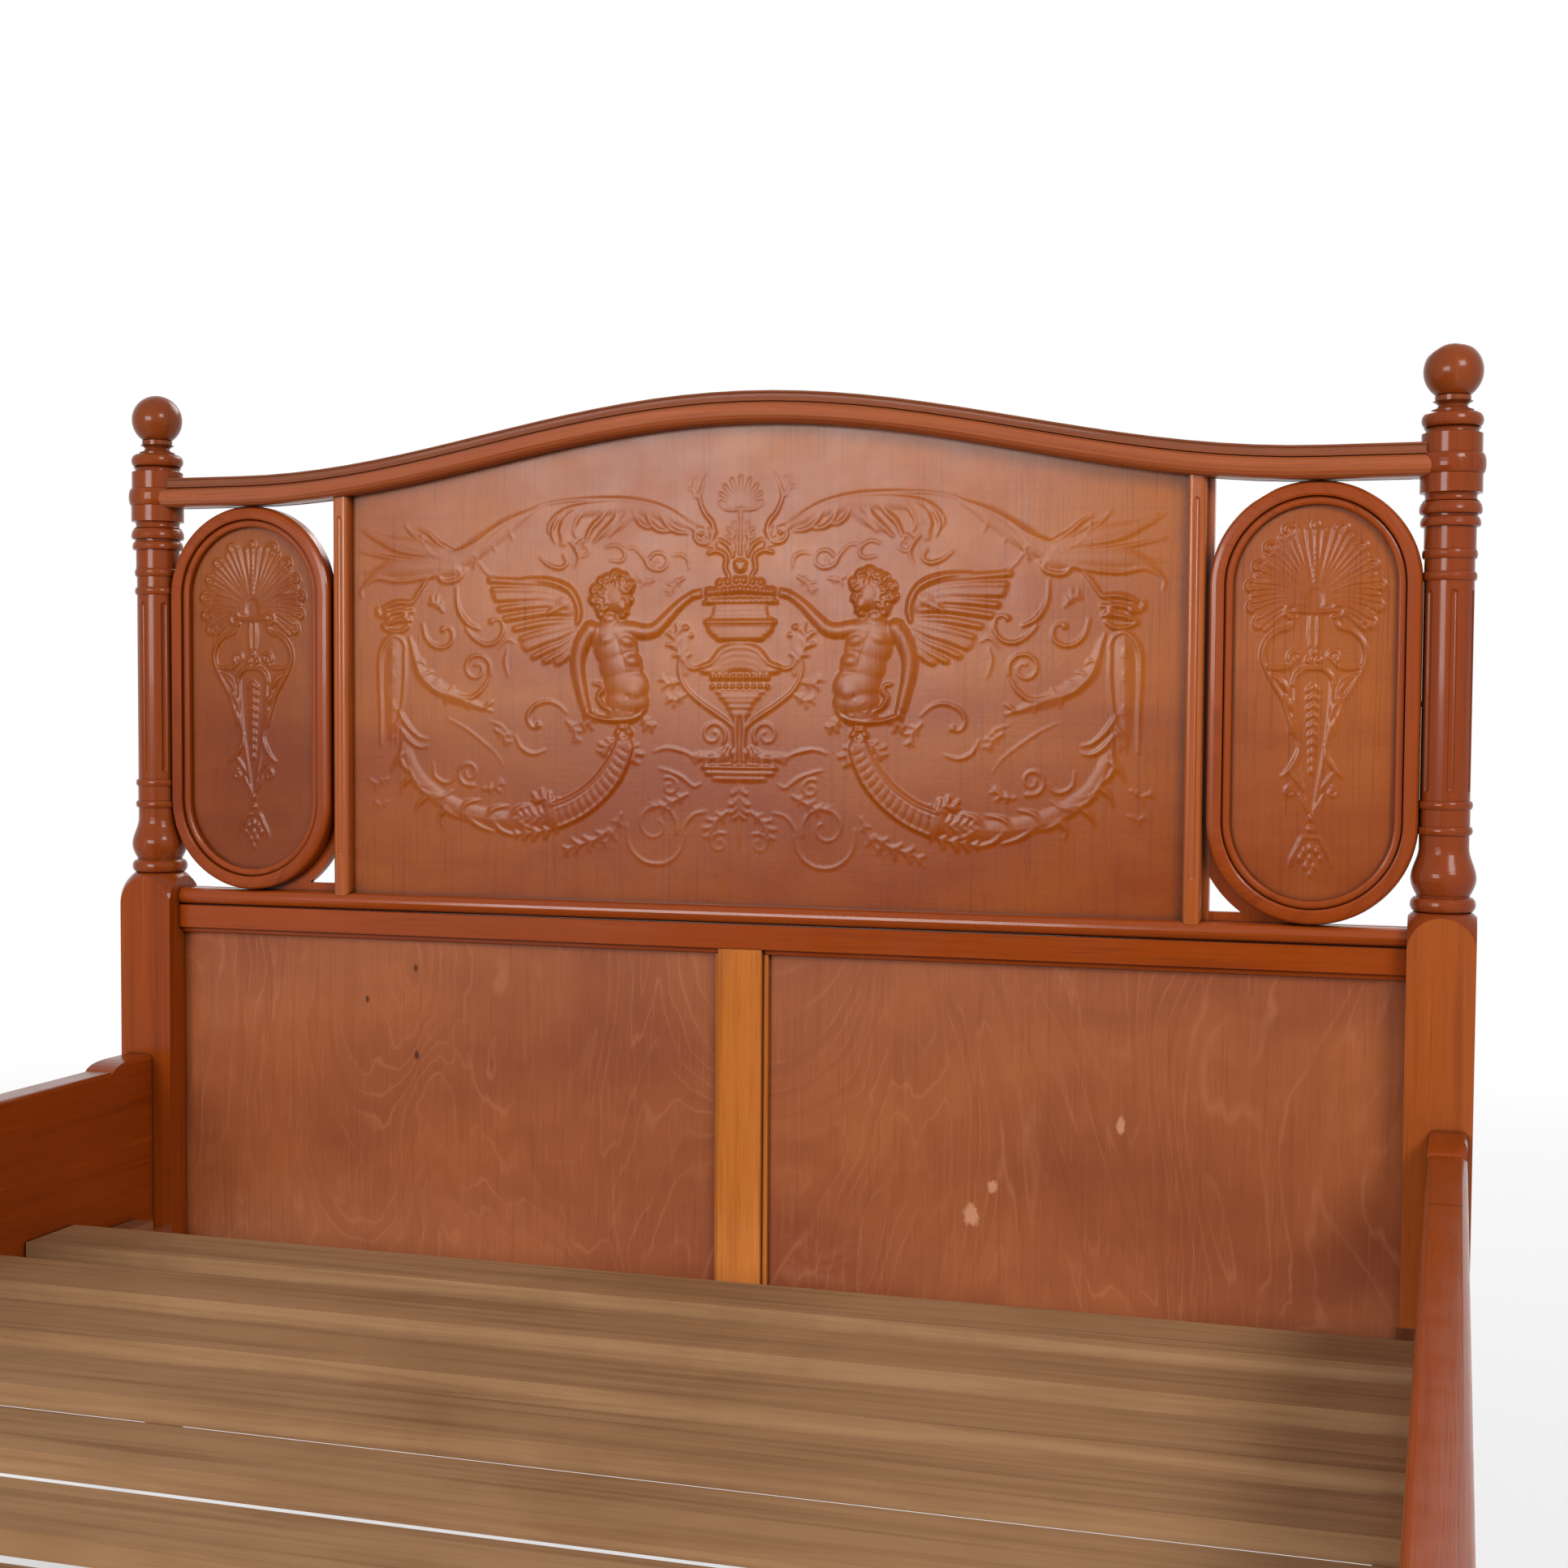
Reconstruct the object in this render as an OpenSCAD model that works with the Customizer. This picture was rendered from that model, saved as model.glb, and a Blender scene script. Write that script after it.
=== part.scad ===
/* [Overall] */
// Distance between the left and right post axes
post_spacing = 1440; // [1340:10:1700]
// Distance between the head and foot post axes
bed_length = 1985; // [1800:5:2200]
// Height of the top of the head mid rail
mid_rail_top = 701; // [650:1:760]
// Height of the underside of the bottom rails
bottom_rail_z = 215; // [190:1:240]
// Height of the square posts above the floor
block_z = 118; // [95:1:140]

/* [Posts] */
// Width of the square part of a post
block_w = 65; // [62:0.5:72]
// Height of a face arch above the head mid rail
head_arch_above = 12.5; // [8:0.5:20]
// Height of a foot post's face arch above the floor
foot_arch_z = 668; // [655:1:700]
// Radius of the fluted shaft
shaft_r = 23.8; // [22:0.1:25]
// Number of flutes round a shaft
flute_count = 6; // [4:2:8]
// Radius of the cutter that makes a flute
flute_r = 4.2; // [3:0.1:5]
// Depth of a flute
flute_depth = 2.2; // [1:0.1:3]
// Plain length left at each end of a shaft
flute_end = 12; // [6:0.5:25]
// Turn of the flutes from the front towards the outside, in degrees
flute_turn = 12; // [0:1:14]
// Radius of a ball finial
ball_r = 28.3; // [24:0.1:32]

/* [Crest rails] */
// Height of the crest rail section
crest_h = 33.5; // [31:0.5:38]
// Rise of the crest in the middle
crest_rise = 74.5; // [30:0.5:110]
// Half length of the bent middle of a crest
crest_bell = 600; // [480:5:640]
// Height of the head crest's ends above the mid rail
head_crest_above = 439; // [400:1:480]
// Height of the underside of the foot crest's ends
foot_crest_z = 606; // [590:1:622]
// Reach of the crest's half round in front of the post axes
crest_front = 27; // [24:0.5:29]
// Depth of the back of the crest behind the post axes
crest_back = 11; // [10:0.5:16]

/* [Framing] */
// Depth of the rails and stiles behind the post axes
frame_back = 14; // [12:0.5:18]
// Reach of the flat band of the rails in front of the post axes
band_front = 13; // [11:0.5:14]
// Height of the round bead on the mid rail
bead_h = 20; // [16:0.5:24]
// Height of the flat band of the mid rail
band_h = 26.5; // [20:0.5:34]
// Width of the small bead round the lower panels
lip = 5.5; // [4:0.5:8]
// Height of the bottom rails
bottom_rail_h = 70; // [60:1:85]
// Width of the face of a muntin
muntin_w = 48.5; // [40:0.5:60]
// Width of a fluted stile with the strip behind the oval
stile_w = 25.5; // [24:0.5:30]
// Width of the fluted moulding of a stile
stile_face_w = 19; // [16:0.5:20]
// Width of a stile's strip that lies behind the oval frame
stile_lap = 2.8; // [1:0.2:4]
// Reach of a stile in front of the post axes
stile_front = 13; // [9:0.5:14]
// Width of the flute in a stile
stile_flute_w = 6.7; // [5:0.1:8]
// Length of the tenons of the rails
tenon = 24; // [16:1:26]

/* [Panels] */
// Thickness of the plywood panels
ply = 5; // [4:0.5:6]
// Depth of the panels' front faces behind the post axes
panel_y = 1; // [0:0.5:2]
// Depth of the panel grooves
groove = 8; // [6:0.5:9]

/* [Oval frames] */
// Half width of an oval frame
oval_r = 102.7; // [88:0.1:112]
// Width of the moulded rim of an oval frame
oval_rim = 23.7; // [20:0.1:28]
// Reach of an oval frame in front of the post axes
oval_front = 15; // [13:0.5:16]
// Depth of the back of an oval frame
oval_back = 3.8; // [3:0.1:5]
// Thickness of the pressed panel in an oval
oval_ply = 4; // [3:0.5:5]
// Radius of the dowels that fix the ovals
dowel_r = 3; // [2:0.25:3.5]
// Length of a dowel on each side of its joint
dowel_half = 10; // [6:1:12]
// Height of the bar under a corner bracket
bracket_bar = 7; // [5:0.5:9]
// Thickness of a corner bracket
bracket_t = 8; // [6:0.5:9]

/* [Side rails and slats] */
// Height of the top of the side rails
rail_top = 498; // [470:1:520]
// Height of a side rail
rail_h = 200; // [185:1:215]
// Thickness of a side rail
rail_t = 36; // [30:0.5:37]
// Step from the outer face of a post to the rail
rail_step = 5; // [2:0.5:8]
// Rise of the rounded ear at each rail end
ear_h = 9; // [4:0.5:14]
// Length of the rounded ear at each rail end
ear_len = 80; // [60:1:100]
// Width of a ledger
ledger_w = 26; // [22:1:34]
// Height of a ledger
ledger_h = 24; // [20:1:34]
// Number of slats
slat_count = 12; // [12:1:12]
// Width of a slat
slat_w = 85; // [70:1:95]
// Thickness of a slat
slat_t = 20; // [16:0.5:24]
// Distance from a post axis to the middle of the nearest slat
slat_end = 230; // [200:5:260]

/* [Bed irons] */
// Width of an iron plate
iron_w = 24; // [20:0.5:27]
// Length of an iron plate
iron_len = 130; // [120:1:150]
// Thickness of the iron plates
iron_t = 3; // [2.5:0.5:4]
// Height of the middle of the irons below the rail top
iron_drop = 100; // [90:1:110]
// Radius of a screw shank
screw_r = 2; // [1.5:0.25:2.5]
// Length of a screw
screw_len = 22; // [16:1:25]

/* [Fits] */
// Clearance round tenons, dowels and panels
fit = 0.2; // [0.1:0.05:0.3]

/* [Hidden] */
$fn = 48;

beech = "#a3532a";
beech_dark = "#7e3a1f";
plywood = "#9a5a3a";
steel = "#8a8a86";

half_w = block_w / 2;
post_x = post_spacing / 2;
head_y = bed_length / 2;
foot_y = -bed_length / 2;
cut = 1;
block_in = post_x - half_w;

// Turnings are lists of [form, height, radius, edge radius], from the bottom up,
// drawn for a post 65 wide and scaled to the real one
drawn_w = 65;
turn = block_w / drawn_w;
function sized(list) = [for (s = list) concat([s[0]], [for (i = [1:len(s) - 1]) s[i] * turn])];
shoulder_h = 3.9 * turn;
foot_turning = sized([
    ["cone", (block_z - shoulder_h) / turn - 22, 17, 25],
    ["ring", 14, 29.5, 24.5],
    ["cove", 8, 22.5, 25]
]);
lower_turning = sized([
    ["ring", 15.2, 31.2, 25.5],
    ["drum", 1.4, 25.5],
    ["vase", 59, 31.2, 25.5],
    ["ring", 8.5, 26.8, 24.2],
    ["drum", 16.5, 24.2],
    ["ring", 8.4, 26.5, 24.2]
]);
upper_turning = sized([
    ["ring", 9.2, 26.2, 23.8],
    ["drum", 12, 23.8],
    ["ring", 9.5, 26.2, 24.2],
    ["drum", 21.5, 24.6],
    ["lip", 10, 28.6, 25.5],
    ["drum", 2, 25.5],
    ["lip", 12.8, 29.7, 25.5],
    ["cove", 8, 24.4, 27],
    ["drum", 18, 29.6]
]);
cap_turning = sized([
    ["ring", 20, 32.4, 29.2],
    ["drum", 19.1, 28.8],
    ["cove", 5.2, 25, 27],
    ["ring", 15.3, 29.2, 23],
    ["drum", 2.5, 20]
]);
foot_cap_turning = sized([
    ["ring", 15.2, 31.2, 25.5],
    ["drum", 8, 25.5],
    ["ring", 15.3, 29.2, 23],
    ["drum", 2.5, 20]
]);
neck_r = 13.9 * turn;
neck_top_r = 19 * turn;
neck_h = 8.2 * turn;
disc_r = 17 * turn;
disc_h = 5.3 * turn;
spigot_r = 8 * turn;
spigot_len = 26 * turn;
band_rise = 2.8 * turn;

function total(list, i = 0) = i < len(list) ? list[i][1] + total(list, i + 1) : 0;
function below(list, i) = i > 0 ? list[i - 1][1] + below(list, i - 1) : 0;

head_arch_z = mid_rail_top + head_arch_above;
head_crest_z = mid_rail_top + head_crest_above;
head_turn_z = head_arch_z + shoulder_h;
foot_turn_z = foot_arch_z + shoulder_h;
shaft_z = head_turn_z + total(lower_turning);
shaft_end_z = head_crest_z + band_rise - total(upper_turning);
cap_z = head_crest_z + band_rise;
head_top_z = cap_z + total(cap_turning);
foot_top_z = foot_turn_z + total(foot_cap_turning);

arc_n = 8;
function ring_pts(z, h, r, re, lean = 1) =
    [for (i = [0:arc_n]) [re + (r - re) * sin(180 * i / arc_n), z + h * pow((1 - cos(180 * i / arc_n)) / 2, lean)]];
lip_lean = 1.6;
vase_belly = 0.28;
vase_neck = 0.8;
function vase_r(t, r, re, rn) =
    t < vase_belly ? re + (r - re) * sin(90 * t / vase_belly)
    : t < vase_neck ? rn + (r - rn) * (1 + cos(180 * (t - vase_belly) / (vase_neck - vase_belly))) / 2
    : rn;
function vase_pts(z, h, r, re) =
    [for (i = [0:2 * arc_n]) let (t = i / (2 * arc_n)) [vase_r(t, r, re, shaft_r), z + h * t]];
function form_pts(s, z) =
    s[0] == "ring" || s[0] == "cove" ? ring_pts(z, s[1], s[2], s[3])
    : s[0] == "lip" ? ring_pts(z, s[1], s[2], s[3], lip_lean)
    : s[0] == "vase" ? vase_pts(z, s[1], s[2], s[3])
    : s[0] == "cone" ? [[s[2], z], [s[3], z + s[1]]]
    : [[s[2], z], [s[2], z + s[1]]];

// A solid turned from a list of forms, standing on z; grow widens it
module turned(list, z, grow = 0) {
    points = [for (i = [0:len(list) - 1]) each form_pts(list[i], z + below(list, i))];
    rotate_extrude()
        polygon(concat([[0, z]], [for (p = points) [p[0] + grow, p[1]]], [[0, z + total(list)]]));
}

// A square post whose faces end in round arches at both ends
module arched_block(z0, arch_z) {
    ball = half_w * sqrt(2) + 0.01;
    top_c = arch_z - half_w;
    low_c = z0 + half_w;
    intersection() {
        translate([-half_w, -half_w, z0 - shoulder_h])
            cube([block_w, block_w, arch_z - z0 + 2 * shoulder_h]);
        union() {
            translate([0, 0, top_c])
                sphere(r = ball, $fn = 96);
            translate([0, 0, low_c])
                sphere(r = ball, $fn = 96);
            translate([0, 0, low_c])
                cylinder(r = ball, h = top_c - low_c, $fn = 96);
        }
    }
}

// Flutes round a shaft, each with round ends
module flutes(z0, z1) {
    reach = shaft_r + flute_r - flute_depth;
    for (i = [0:flute_count - 1])
        rotate([0, 0, 360 * i / flute_count - 90 + flute_turn])
            translate([reach, 0, 0]) {
                translate([0, 0, z0 + flute_end])
                    cylinder(r = flute_r, h = z1 - z0 - 2 * flute_end, $fn = 32);
                translate([0, 0, z0 + flute_end])
                    sphere(r = flute_r, $fn = 32);
                translate([0, 0, z1 - flute_end])
                    sphere(r = flute_r, $fn = 32);
            }
}

// Height of a crest above its end at a distance from the middle
function rise(x) = abs(x) < crest_bell ? crest_rise * (1 + cos(180 * x / crest_bell)) / 2 : 0;

crest_seat = 33 * turn;
crest_end = post_x - crest_seat;
foot_crest_end = block_in - fit;
crest_steps = 36;
half_round_h = 22;
half_round_d = 12;
crest_base = 15;
bead_base_d = 2.6;
bead_d = 1.3;
bead_w = 2.7;
hollow_d = 0.6;
crest_arc = 8;

bead_turns = [16, 54, 90, 126, 168];
bead_step = 0.12;

// The members above the crest's half round, as [height, depth]: bead, hollow, bead
crest_members = [[bead_w, bead_d], [crest_h - half_round_h - 2 * bead_w, -hollow_d], [bead_w, bead_d]];
function member_z(i) = i > 0 ? crest_members[i - 1][0] + member_z(i - 1) : half_round_h;

// The crest's section, as [depth, height] from its underside
function crest_section() =
    let (by = -(crest_front - half_round_d), c = half_round_h / 2, b0 = by - bead_base_d)
    concat(
        [for (i = [0:crest_arc]) let (a = 180 * i / crest_arc - 90)
            [by - half_round_d * cos(a), c + c * sin(a)]],
        [for (b = [0:len(crest_members) - 1]) let (m = crest_members[b]) for (a = bead_turns)
            [b0 + bead_step * b - m[1] * (sin(a) - 0.3), member_z(b) + m[0] * (1 - cos(a)) / 2]],
        [[crest_back - 2, crest_h], [crest_back, crest_h - 2], [crest_back, 2], [crest_back - 2, 0]]
    );

// A bent rail of that section, from end to end, grooved below for its panels up to its shoulders
module bent_rail(end, shoulder) {
    section = crest_section();
    n = len(section);
    bend = min(crest_bell, end);
    curve = [for (i = [0:crest_steps]) -bend + 2 * bend * i / crest_steps];
    xs = concat([-end - cut], curve, [end + cut]);
    points = [for (x = xs) for (p = section) [x, p[0], p[1] + rise(x)]];
    last = (len(xs) - 1) * n;
    sides = [for (s = [0:len(xs) - 2]) for (i = [0:n - 1]) let (j = (i + 1) % n)
        each [
            [s * n + i, s * n + j, (s + 1) * n + j],
            [s * n + i, (s + 1) * n + j, (s + 1) * n + i]
        ]];
    caps = [[for (i = [n - 1:-1:0]) i], [for (i = [0:n - 1]) last + i]];
    difference() {
        polyhedron(points = points, faces = concat(sides, caps), convexity = 8);
        both_sides()
            translate([end, -half_w, -half_w])
                cube([half_w, block_w, block_w]);
        panel_groove(shoulder);
    }
}

// The groove in a crest's underside, which stops short of the crest's ends
module panel_groove(end) {
    steps = 24;
    stop = end - 4;
    low = [for (i = [0:steps]) let (x = -stop + 2 * stop * i / steps) [x, rise(x) - cut]];
    high = [for (i = [steps:-1:0]) let (x = -stop + 2 * stop * i / steps) [x, rise(x) + groove]];
    translate([0, panel_y + ply + fit, 0])
        rotate([90, 0, 0])
            linear_extrude(ply + 2 * fit)
                polygon(concat(low, high));
}

// The space under a crest, for cutting the tops of what it covers
module under_crest(z, x0, x1, gap) {
    steps = 12;
    line = [for (i = [0:steps]) let (x = x0 + (x1 - x0) * i / steps) [x, z + rise(x) - gap]];
    translate([0, half_w, 0])
        rotate([90, 0, 0])
            linear_extrude(block_w)
                polygon(concat([[x1, 0], [x0, 0]], line));
}

// A tenon, or with grow its mortise, reaching out to the right
module rail_tenon(x, y0, y1, z0, z1, grow) {
    translate([x - cut, y0 - grow, z0 - grow])
        cube([tenon + cut + grow * 3, y1 - y0 + 2 * grow, z1 - z0 + 2 * grow]);
}

tenon_y0 = -4;
tenon_y1 = 7;
tenon_edge = 6;
mid_rail_h = bead_h + band_h + lip;
mid_rail_low = mid_rail_top - mid_rail_h;
bottom_rail_top = bottom_rail_z + bottom_rail_h;

module crest_tenon(z, x, grow) {
    rail_tenon(x, -crest_base + 3, -2, z + tenon_edge, z + crest_h - tenon_edge, grow);
}

module mid_tenon(grow) {
    rail_tenon(block_in - fit, tenon_y0, tenon_y1, mid_rail_low + groove + 4, mid_rail_top - groove - 4, grow);
}

module bottom_tenon(grow) {
    rail_tenon(block_in - fit, tenon_y0, tenon_y1, bottom_rail_z + tenon_edge, bottom_rail_top - groove - 4, grow);
}

// The two outlines of an oval: a straight middle with half circle ends
oval_in = oval_r - oval_rim;
oval_x = post_x - shaft_r - oval_r;
oval_z0 = mid_rail_top + fit;
oval_z1 = head_crest_z + rise(oval_x) - fit;
oval_mid = (oval_z0 + oval_z1) / 2;
oval_straight = oval_z1 - oval_z0 - 2 * oval_r;

module oval_solid(r, y0, y1) {
    translate([oval_x, y1, 0])
        rotate([90, 0, 0])
            linear_extrude(y1 - y0) {
                translate([0, oval_z0 + oval_r])
                    circle(r = r, $fn = 96);
                translate([0, oval_z1 - oval_r])
                    circle(r = r, $fn = 96);
                translate([-r, oval_z0 + oval_r])
                    square([2 * r, oval_straight]);
            }
}

dowel_y = -3.5;
module dowel(grow) {
    cylinder(r = dowel_r + grow, h = 2 * (dowel_half + grow), center = true, $fn = 24);
}

// The three dowels of the right oval: top, bottom and post side
module oval_dowel_set(grow) {
    translate([oval_x, dowel_y, oval_z0])
        dowel(grow);
    translate([oval_x, dowel_y, oval_z1])
        dowel(grow);
    translate([oval_x + oval_r, dowel_y, oval_mid])
        rotate([0, 90, 0])
            dowel(grow);
}

// Bed irons, drawn at a joint plane y = 0 with the post towards +y
rail_x = post_x + half_w - rail_step - rail_t / 2;
iron_z = rail_top - iron_drop;
iron_gap = 0.2;
hook_t = 3;
hook_z = [-28, 20];
hook_neck = 9;
hook_drop = 8;
hook_depth = 5;
screw_z = [-56, 56];
head_r = screw_r * 2;
head_h = screw_r * 1.1;

module at_joint(dir) {
    y = dir > 0 ? head_y - half_w : foot_y + half_w;
    translate([rail_x, y, iron_z])
        mirror([0, dir > 0 ? 0 : 1, 0])
            children();
}

module iron_box(y0, y1, grow) {
    translate([-iron_w / 2 - grow, y0, -iron_len / 2 - grow])
        cube([iron_w + 2 * grow, y1 - y0, iron_len + 2 * grow]);
}

module hook(z) {
    translate([-hook_t / 2, 0, z])
        rotate([90, 0, 90])
            linear_extrude(hook_t)
                polygon([
                    [-iron_gap, 0], [iron_t + 2 * iron_gap, 0],
                    [iron_t + 2 * iron_gap, -hook_drop], [iron_t + hook_depth - 1, -hook_drop],
                    [iron_t + hook_depth, -hook_drop + 1], [iron_t + hook_depth, hook_neck - 1],
                    [iron_t + hook_depth - 1, hook_neck], [-iron_gap, hook_neck]
                ]);
}

module hook_space(z, side, y0, y1) {
    translate([-side, y0, z - hook_drop - 1])
        cube([2 * side, y1 - y0, hook_neck + 2 * hook_drop + 3]);
}

module hook_slot(z) {
    translate([-hook_t / 2 - 0.5, -cut, z - iron_gap])
        cube([hook_t + 1, iron_t + 2 * cut, hook_neck + hook_drop + 2]);
}

// A countersunk screw with its head towards -y, pointing along +y
module screw(grow) {
    rotate([-90, 0, 0]) {
        cylinder(r = screw_r + grow, h = screw_len + grow, $fn = 24);
        cylinder(r1 = head_r + grow, r2 = screw_r + grow, h = head_h, $fn = 24);
    }
}

// The screws of the post plate point into the post, those of the rail plate into the rail
module post_screws(grow) {
    for (z = screw_z)
        translate([0, 2 * iron_gap, z])
            screw(grow);
}

module rail_screws(grow) {
    for (z = screw_z)
        translate([0, -2 * iron_gap, z])
            mirror([0, 1, 0])
                screw(grow);
}

module post_iron_cuts() {
    iron_box(-cut, iron_t + iron_gap, fit);
    for (z = hook_z)
        hook_space(z, hook_t, 0, iron_t + hook_depth + 2);
    post_screws(fit);
}

// Right-hand posts; the left ones are their mirror images
module post_joints(dir, top_z, bore_z) {
    translate([post_x, 0, 0])
        translate([0, 0, bore_z - spigot_len - 1])
            cylinder(r = spigot_r + fit, h = spigot_len + 1 + cut);
}

module panel_slot(y, z0, z1) {
    translate([block_in - cut, y + panel_y - fit, z0])
        cube([groove + cut, ply + 2 * fit, z1 - z0]);
}

module right_head_post() {
    color(beech)
        difference() {
            translate([0, head_y, 0])
                difference() {
                    translate([post_x, 0, 0]) {
                        turned(foot_turning, block_z - shoulder_h - total(foot_turning));
                        arched_block(block_z, head_arch_z);
                        turned(lower_turning, head_turn_z);
                        translate([0, 0, shaft_z])
                            cylinder(r = shaft_r, h = shaft_end_z - shaft_z, $fn = 64);
                        turned(upper_turning, shaft_end_z);
                        turned(cap_turning, cap_z);
                    }
                    translate([post_x, 0, 0])
                        flutes(shaft_z, shaft_end_z);
                    oval_solid(oval_r + fit, -oval_front - fit, oval_back + fit);
                    crest_tenon(head_crest_z, crest_end, fit);
                    mid_tenon(fit);
                    bottom_tenon(fit);
                    panel_slot(0, bottom_rail_z, mid_rail_low + groove);
                    oval_dowel_set(fit);
                    post_joints(1, head_top_z, head_top_z);
                }
            at_joint(1)
                post_iron_cuts();
        }
}

module right_foot_post() {
    color(beech)
        difference() {
            translate([0, foot_y, 0])
                difference() {
                    translate([post_x, 0, 0]) {
                        turned(foot_turning, block_z - shoulder_h - total(foot_turning));
                        arched_block(block_z, foot_arch_z);
                        turned(foot_cap_turning, foot_turn_z);
                    }
                    crest_tenon(foot_crest_z, block_in - fit, fit);
                    bottom_tenon(fit);
                    panel_slot(0, bottom_rail_z, foot_crest_z + groove);
                    post_joints(-1, foot_top_z, foot_top_z);
                }
            at_joint(-1)
                post_iron_cuts();
        }
}

module head_post_right() { right_head_post(); }
module head_post_left() { mirror([1, 0, 0]) right_head_post(); }
module foot_post_right() { right_foot_post(); }
module foot_post_left() { mirror([1, 0, 0]) right_foot_post(); }

// A ball finial on its neck, with the spigot that plugs into the post
module finial(x, y, z) {
    ball_c = neck_h + disc_h + sqrt(ball_r * ball_r - disc_r * disc_r * 0.8);
    neck = [for (i = [0:arc_n]) [neck_top_r - (neck_top_r - neck_r) * sin(180 * i / arc_n), neck_h * i / arc_n]];
    color(beech)
        translate([x, y, z]) {
            rotate_extrude()
                polygon(concat(
                    [[0, -spigot_len], [spigot_r, -spigot_len], [spigot_r, 0]],
                    neck,
                    [[disc_r, neck_h], [disc_r, neck_h + disc_h], [0, neck_h + disc_h]]
                ));
            difference() {
                translate([0, 0, ball_c])
                    sphere(r = ball_r, $fn = 96);
                translate([-ball_r, -ball_r, neck_h + disc_h - ball_r])
                    cube([2 * ball_r, 2 * ball_r, ball_r]);
            }
        }
}

module head_finial_left() { finial(-post_x, head_y, head_top_z); }
module head_finial_right() { finial(post_x, head_y, head_top_z); }
module foot_finial_left() { finial(-post_x, foot_y, foot_top_z); }
module foot_finial_right() { finial(post_x, foot_y, foot_top_z); }

module both_sides() {
    children();
    mirror([1, 0, 0])
        children();
}

module head_crest_rail() {
    color(beech)
        translate([0, head_y, 0])
            difference() {
                union() {
                    difference() {
                        translate([0, 0, head_crest_z])
                            bent_rail(post_x, crest_end);
                        both_sides()
                            translate([post_x, 0, 0]) {
                                turned(upper_turning, shaft_end_z, fit);
                                turned(cap_turning, cap_z, fit);
                            }
                    }
                    both_sides()
                        crest_tenon(head_crest_z, crest_end, 0);
                }
                both_sides()
                    oval_dowel_set(fit);
            }
}

module foot_crest_rail() {
    color(beech)
        translate([0, foot_y, 0]) {
            translate([0, 0, foot_crest_z])
                bent_rail(foot_crest_end, foot_crest_end);
            both_sides()
                crest_tenon(foot_crest_z, foot_crest_end, 0);
        }
}

// A long straight piece along X, from a [depth, height] outline
module along_x(half, z) {
    translate([-half, 0, z])
        rotate([90, 0, 90])
            linear_extrude(2 * half)
                children();
}

bead_base = 6;
bead_out = oval_front - bead_base;
lip_y = 6.5;
seam = 0.8;

module mid_rail_outline() {
    by = -bead_base;
    bc = -bead_h / 2;
    band_low = -bead_h - band_h;
    low = -mid_rail_h;
    slot0 = panel_y - fit;
    slot1 = panel_y + ply + fit;
    bead = [for (i = [0:10]) let (a = 90 - 18 * i) [by - bead_out * cos(a), bc - seam / 2 + (-bc - seam / 2) * sin(a) + seam / 2]];
    polygon(concat(
        bead,
        [[-bead_base, -bead_h], [-band_front + seam, -bead_h], [-band_front, -bead_h - seam]],
        [[-band_front, band_low + seam], [-band_front + seam, band_low], [-lip_y + 1, band_low]],
        [[-lip_y, band_low - 1], [-lip_y, low + 1], [-lip_y + 1, low]],
        [[slot0, low], [slot0, low + groove], [slot1, low + groove], [slot1, low]],
        [[frame_back, low], [frame_back, 0]],
        [[slot1, 0], [slot1, -groove], [slot0, -groove], [slot0, 0]]
    ));
}

module head_mid_rail() {
    color(beech)
        translate([0, head_y, 0])
            difference() {
                union() {
                    along_x(block_in - fit, mid_rail_top)
                        mid_rail_outline();
                    both_sides()
                        mid_tenon(0);
                }
                translate([-muntin_w / 2 - fit, -half_w, mid_rail_low - cut])
                    cube([muntin_w + 2 * fit, half_w + panel_y - 2, lip + cut + fit]);
                both_sides()
                    oval_dowel_set(fit);
                both_sides()
                    stile_stub(fit);
            }
}

module bottom_rail_outline() {
    h = bottom_rail_h;
    slot0 = panel_y - fit;
    slot1 = panel_y + ply + fit;
    polygon([
        [-band_front + 2, 0], [-band_front, 2], [-band_front, h - lip - seam],
        [-band_front + seam, h - lip], [-lip_y + 1, h - lip], [-lip_y, h - lip + 1], [-lip_y, h - 1],
        [-lip_y + 1, h], [slot0, h], [slot0, h - groove], [slot1, h - groove], [slot1, h],
        [frame_back, h], [frame_back, 0]
    ]);
}

module bottom_rail(y) {
    color(beech)
        translate([0, y, 0])
            difference() {
                union() {
                    along_x(block_in - fit, bottom_rail_z)
                        bottom_rail_outline();
                    both_sides()
                        bottom_tenon(0);
                }
                translate([-muntin_w / 2 - fit, -half_w, bottom_rail_top - lip - fit])
                    cube([muntin_w + 2 * fit, half_w + panel_y - 2, lip + cut + fit]);
            }
}

module head_bottom_rail() { bottom_rail(head_y); }
module foot_bottom_rail() { bottom_rail(foot_y); }

// The upright between two lower panels, with a stub at each end in the grooves
module muntin_outline() {
    w = muntin_w / 2;
    slot0 = panel_y - fit;
    slot1 = panel_y + ply + fit;
    side = [
        [w - seam, -band_front], [w, -band_front + seam], [w, -lip_y + 0.5], [w + 1, -lip_y],
        [w + lip - 1, -lip_y], [w + lip, -lip_y + 1], [w + lip, slot0], [w + lip - groove, slot0],
        [w + lip - groove, slot1], [w + lip, slot1], [w + lip, frame_back]
    ];
    n = len(side);
    polygon(concat(side, [for (i = [n - 1:-1:0]) [-side[i][0], side[i][1]]]));
}

module muntin_body(z0, z1) {
    w = muntin_w / 2;
    stub = w + lip - groove - 1;
    translate([0, 0, z0])
        linear_extrude(z1 - z0)
            muntin_outline();
    translate([-stub, panel_y, z0 - groove + fit])
        cube([2 * stub, ply, z1 - z0 + 2 * (groove - fit)]);
}

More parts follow.
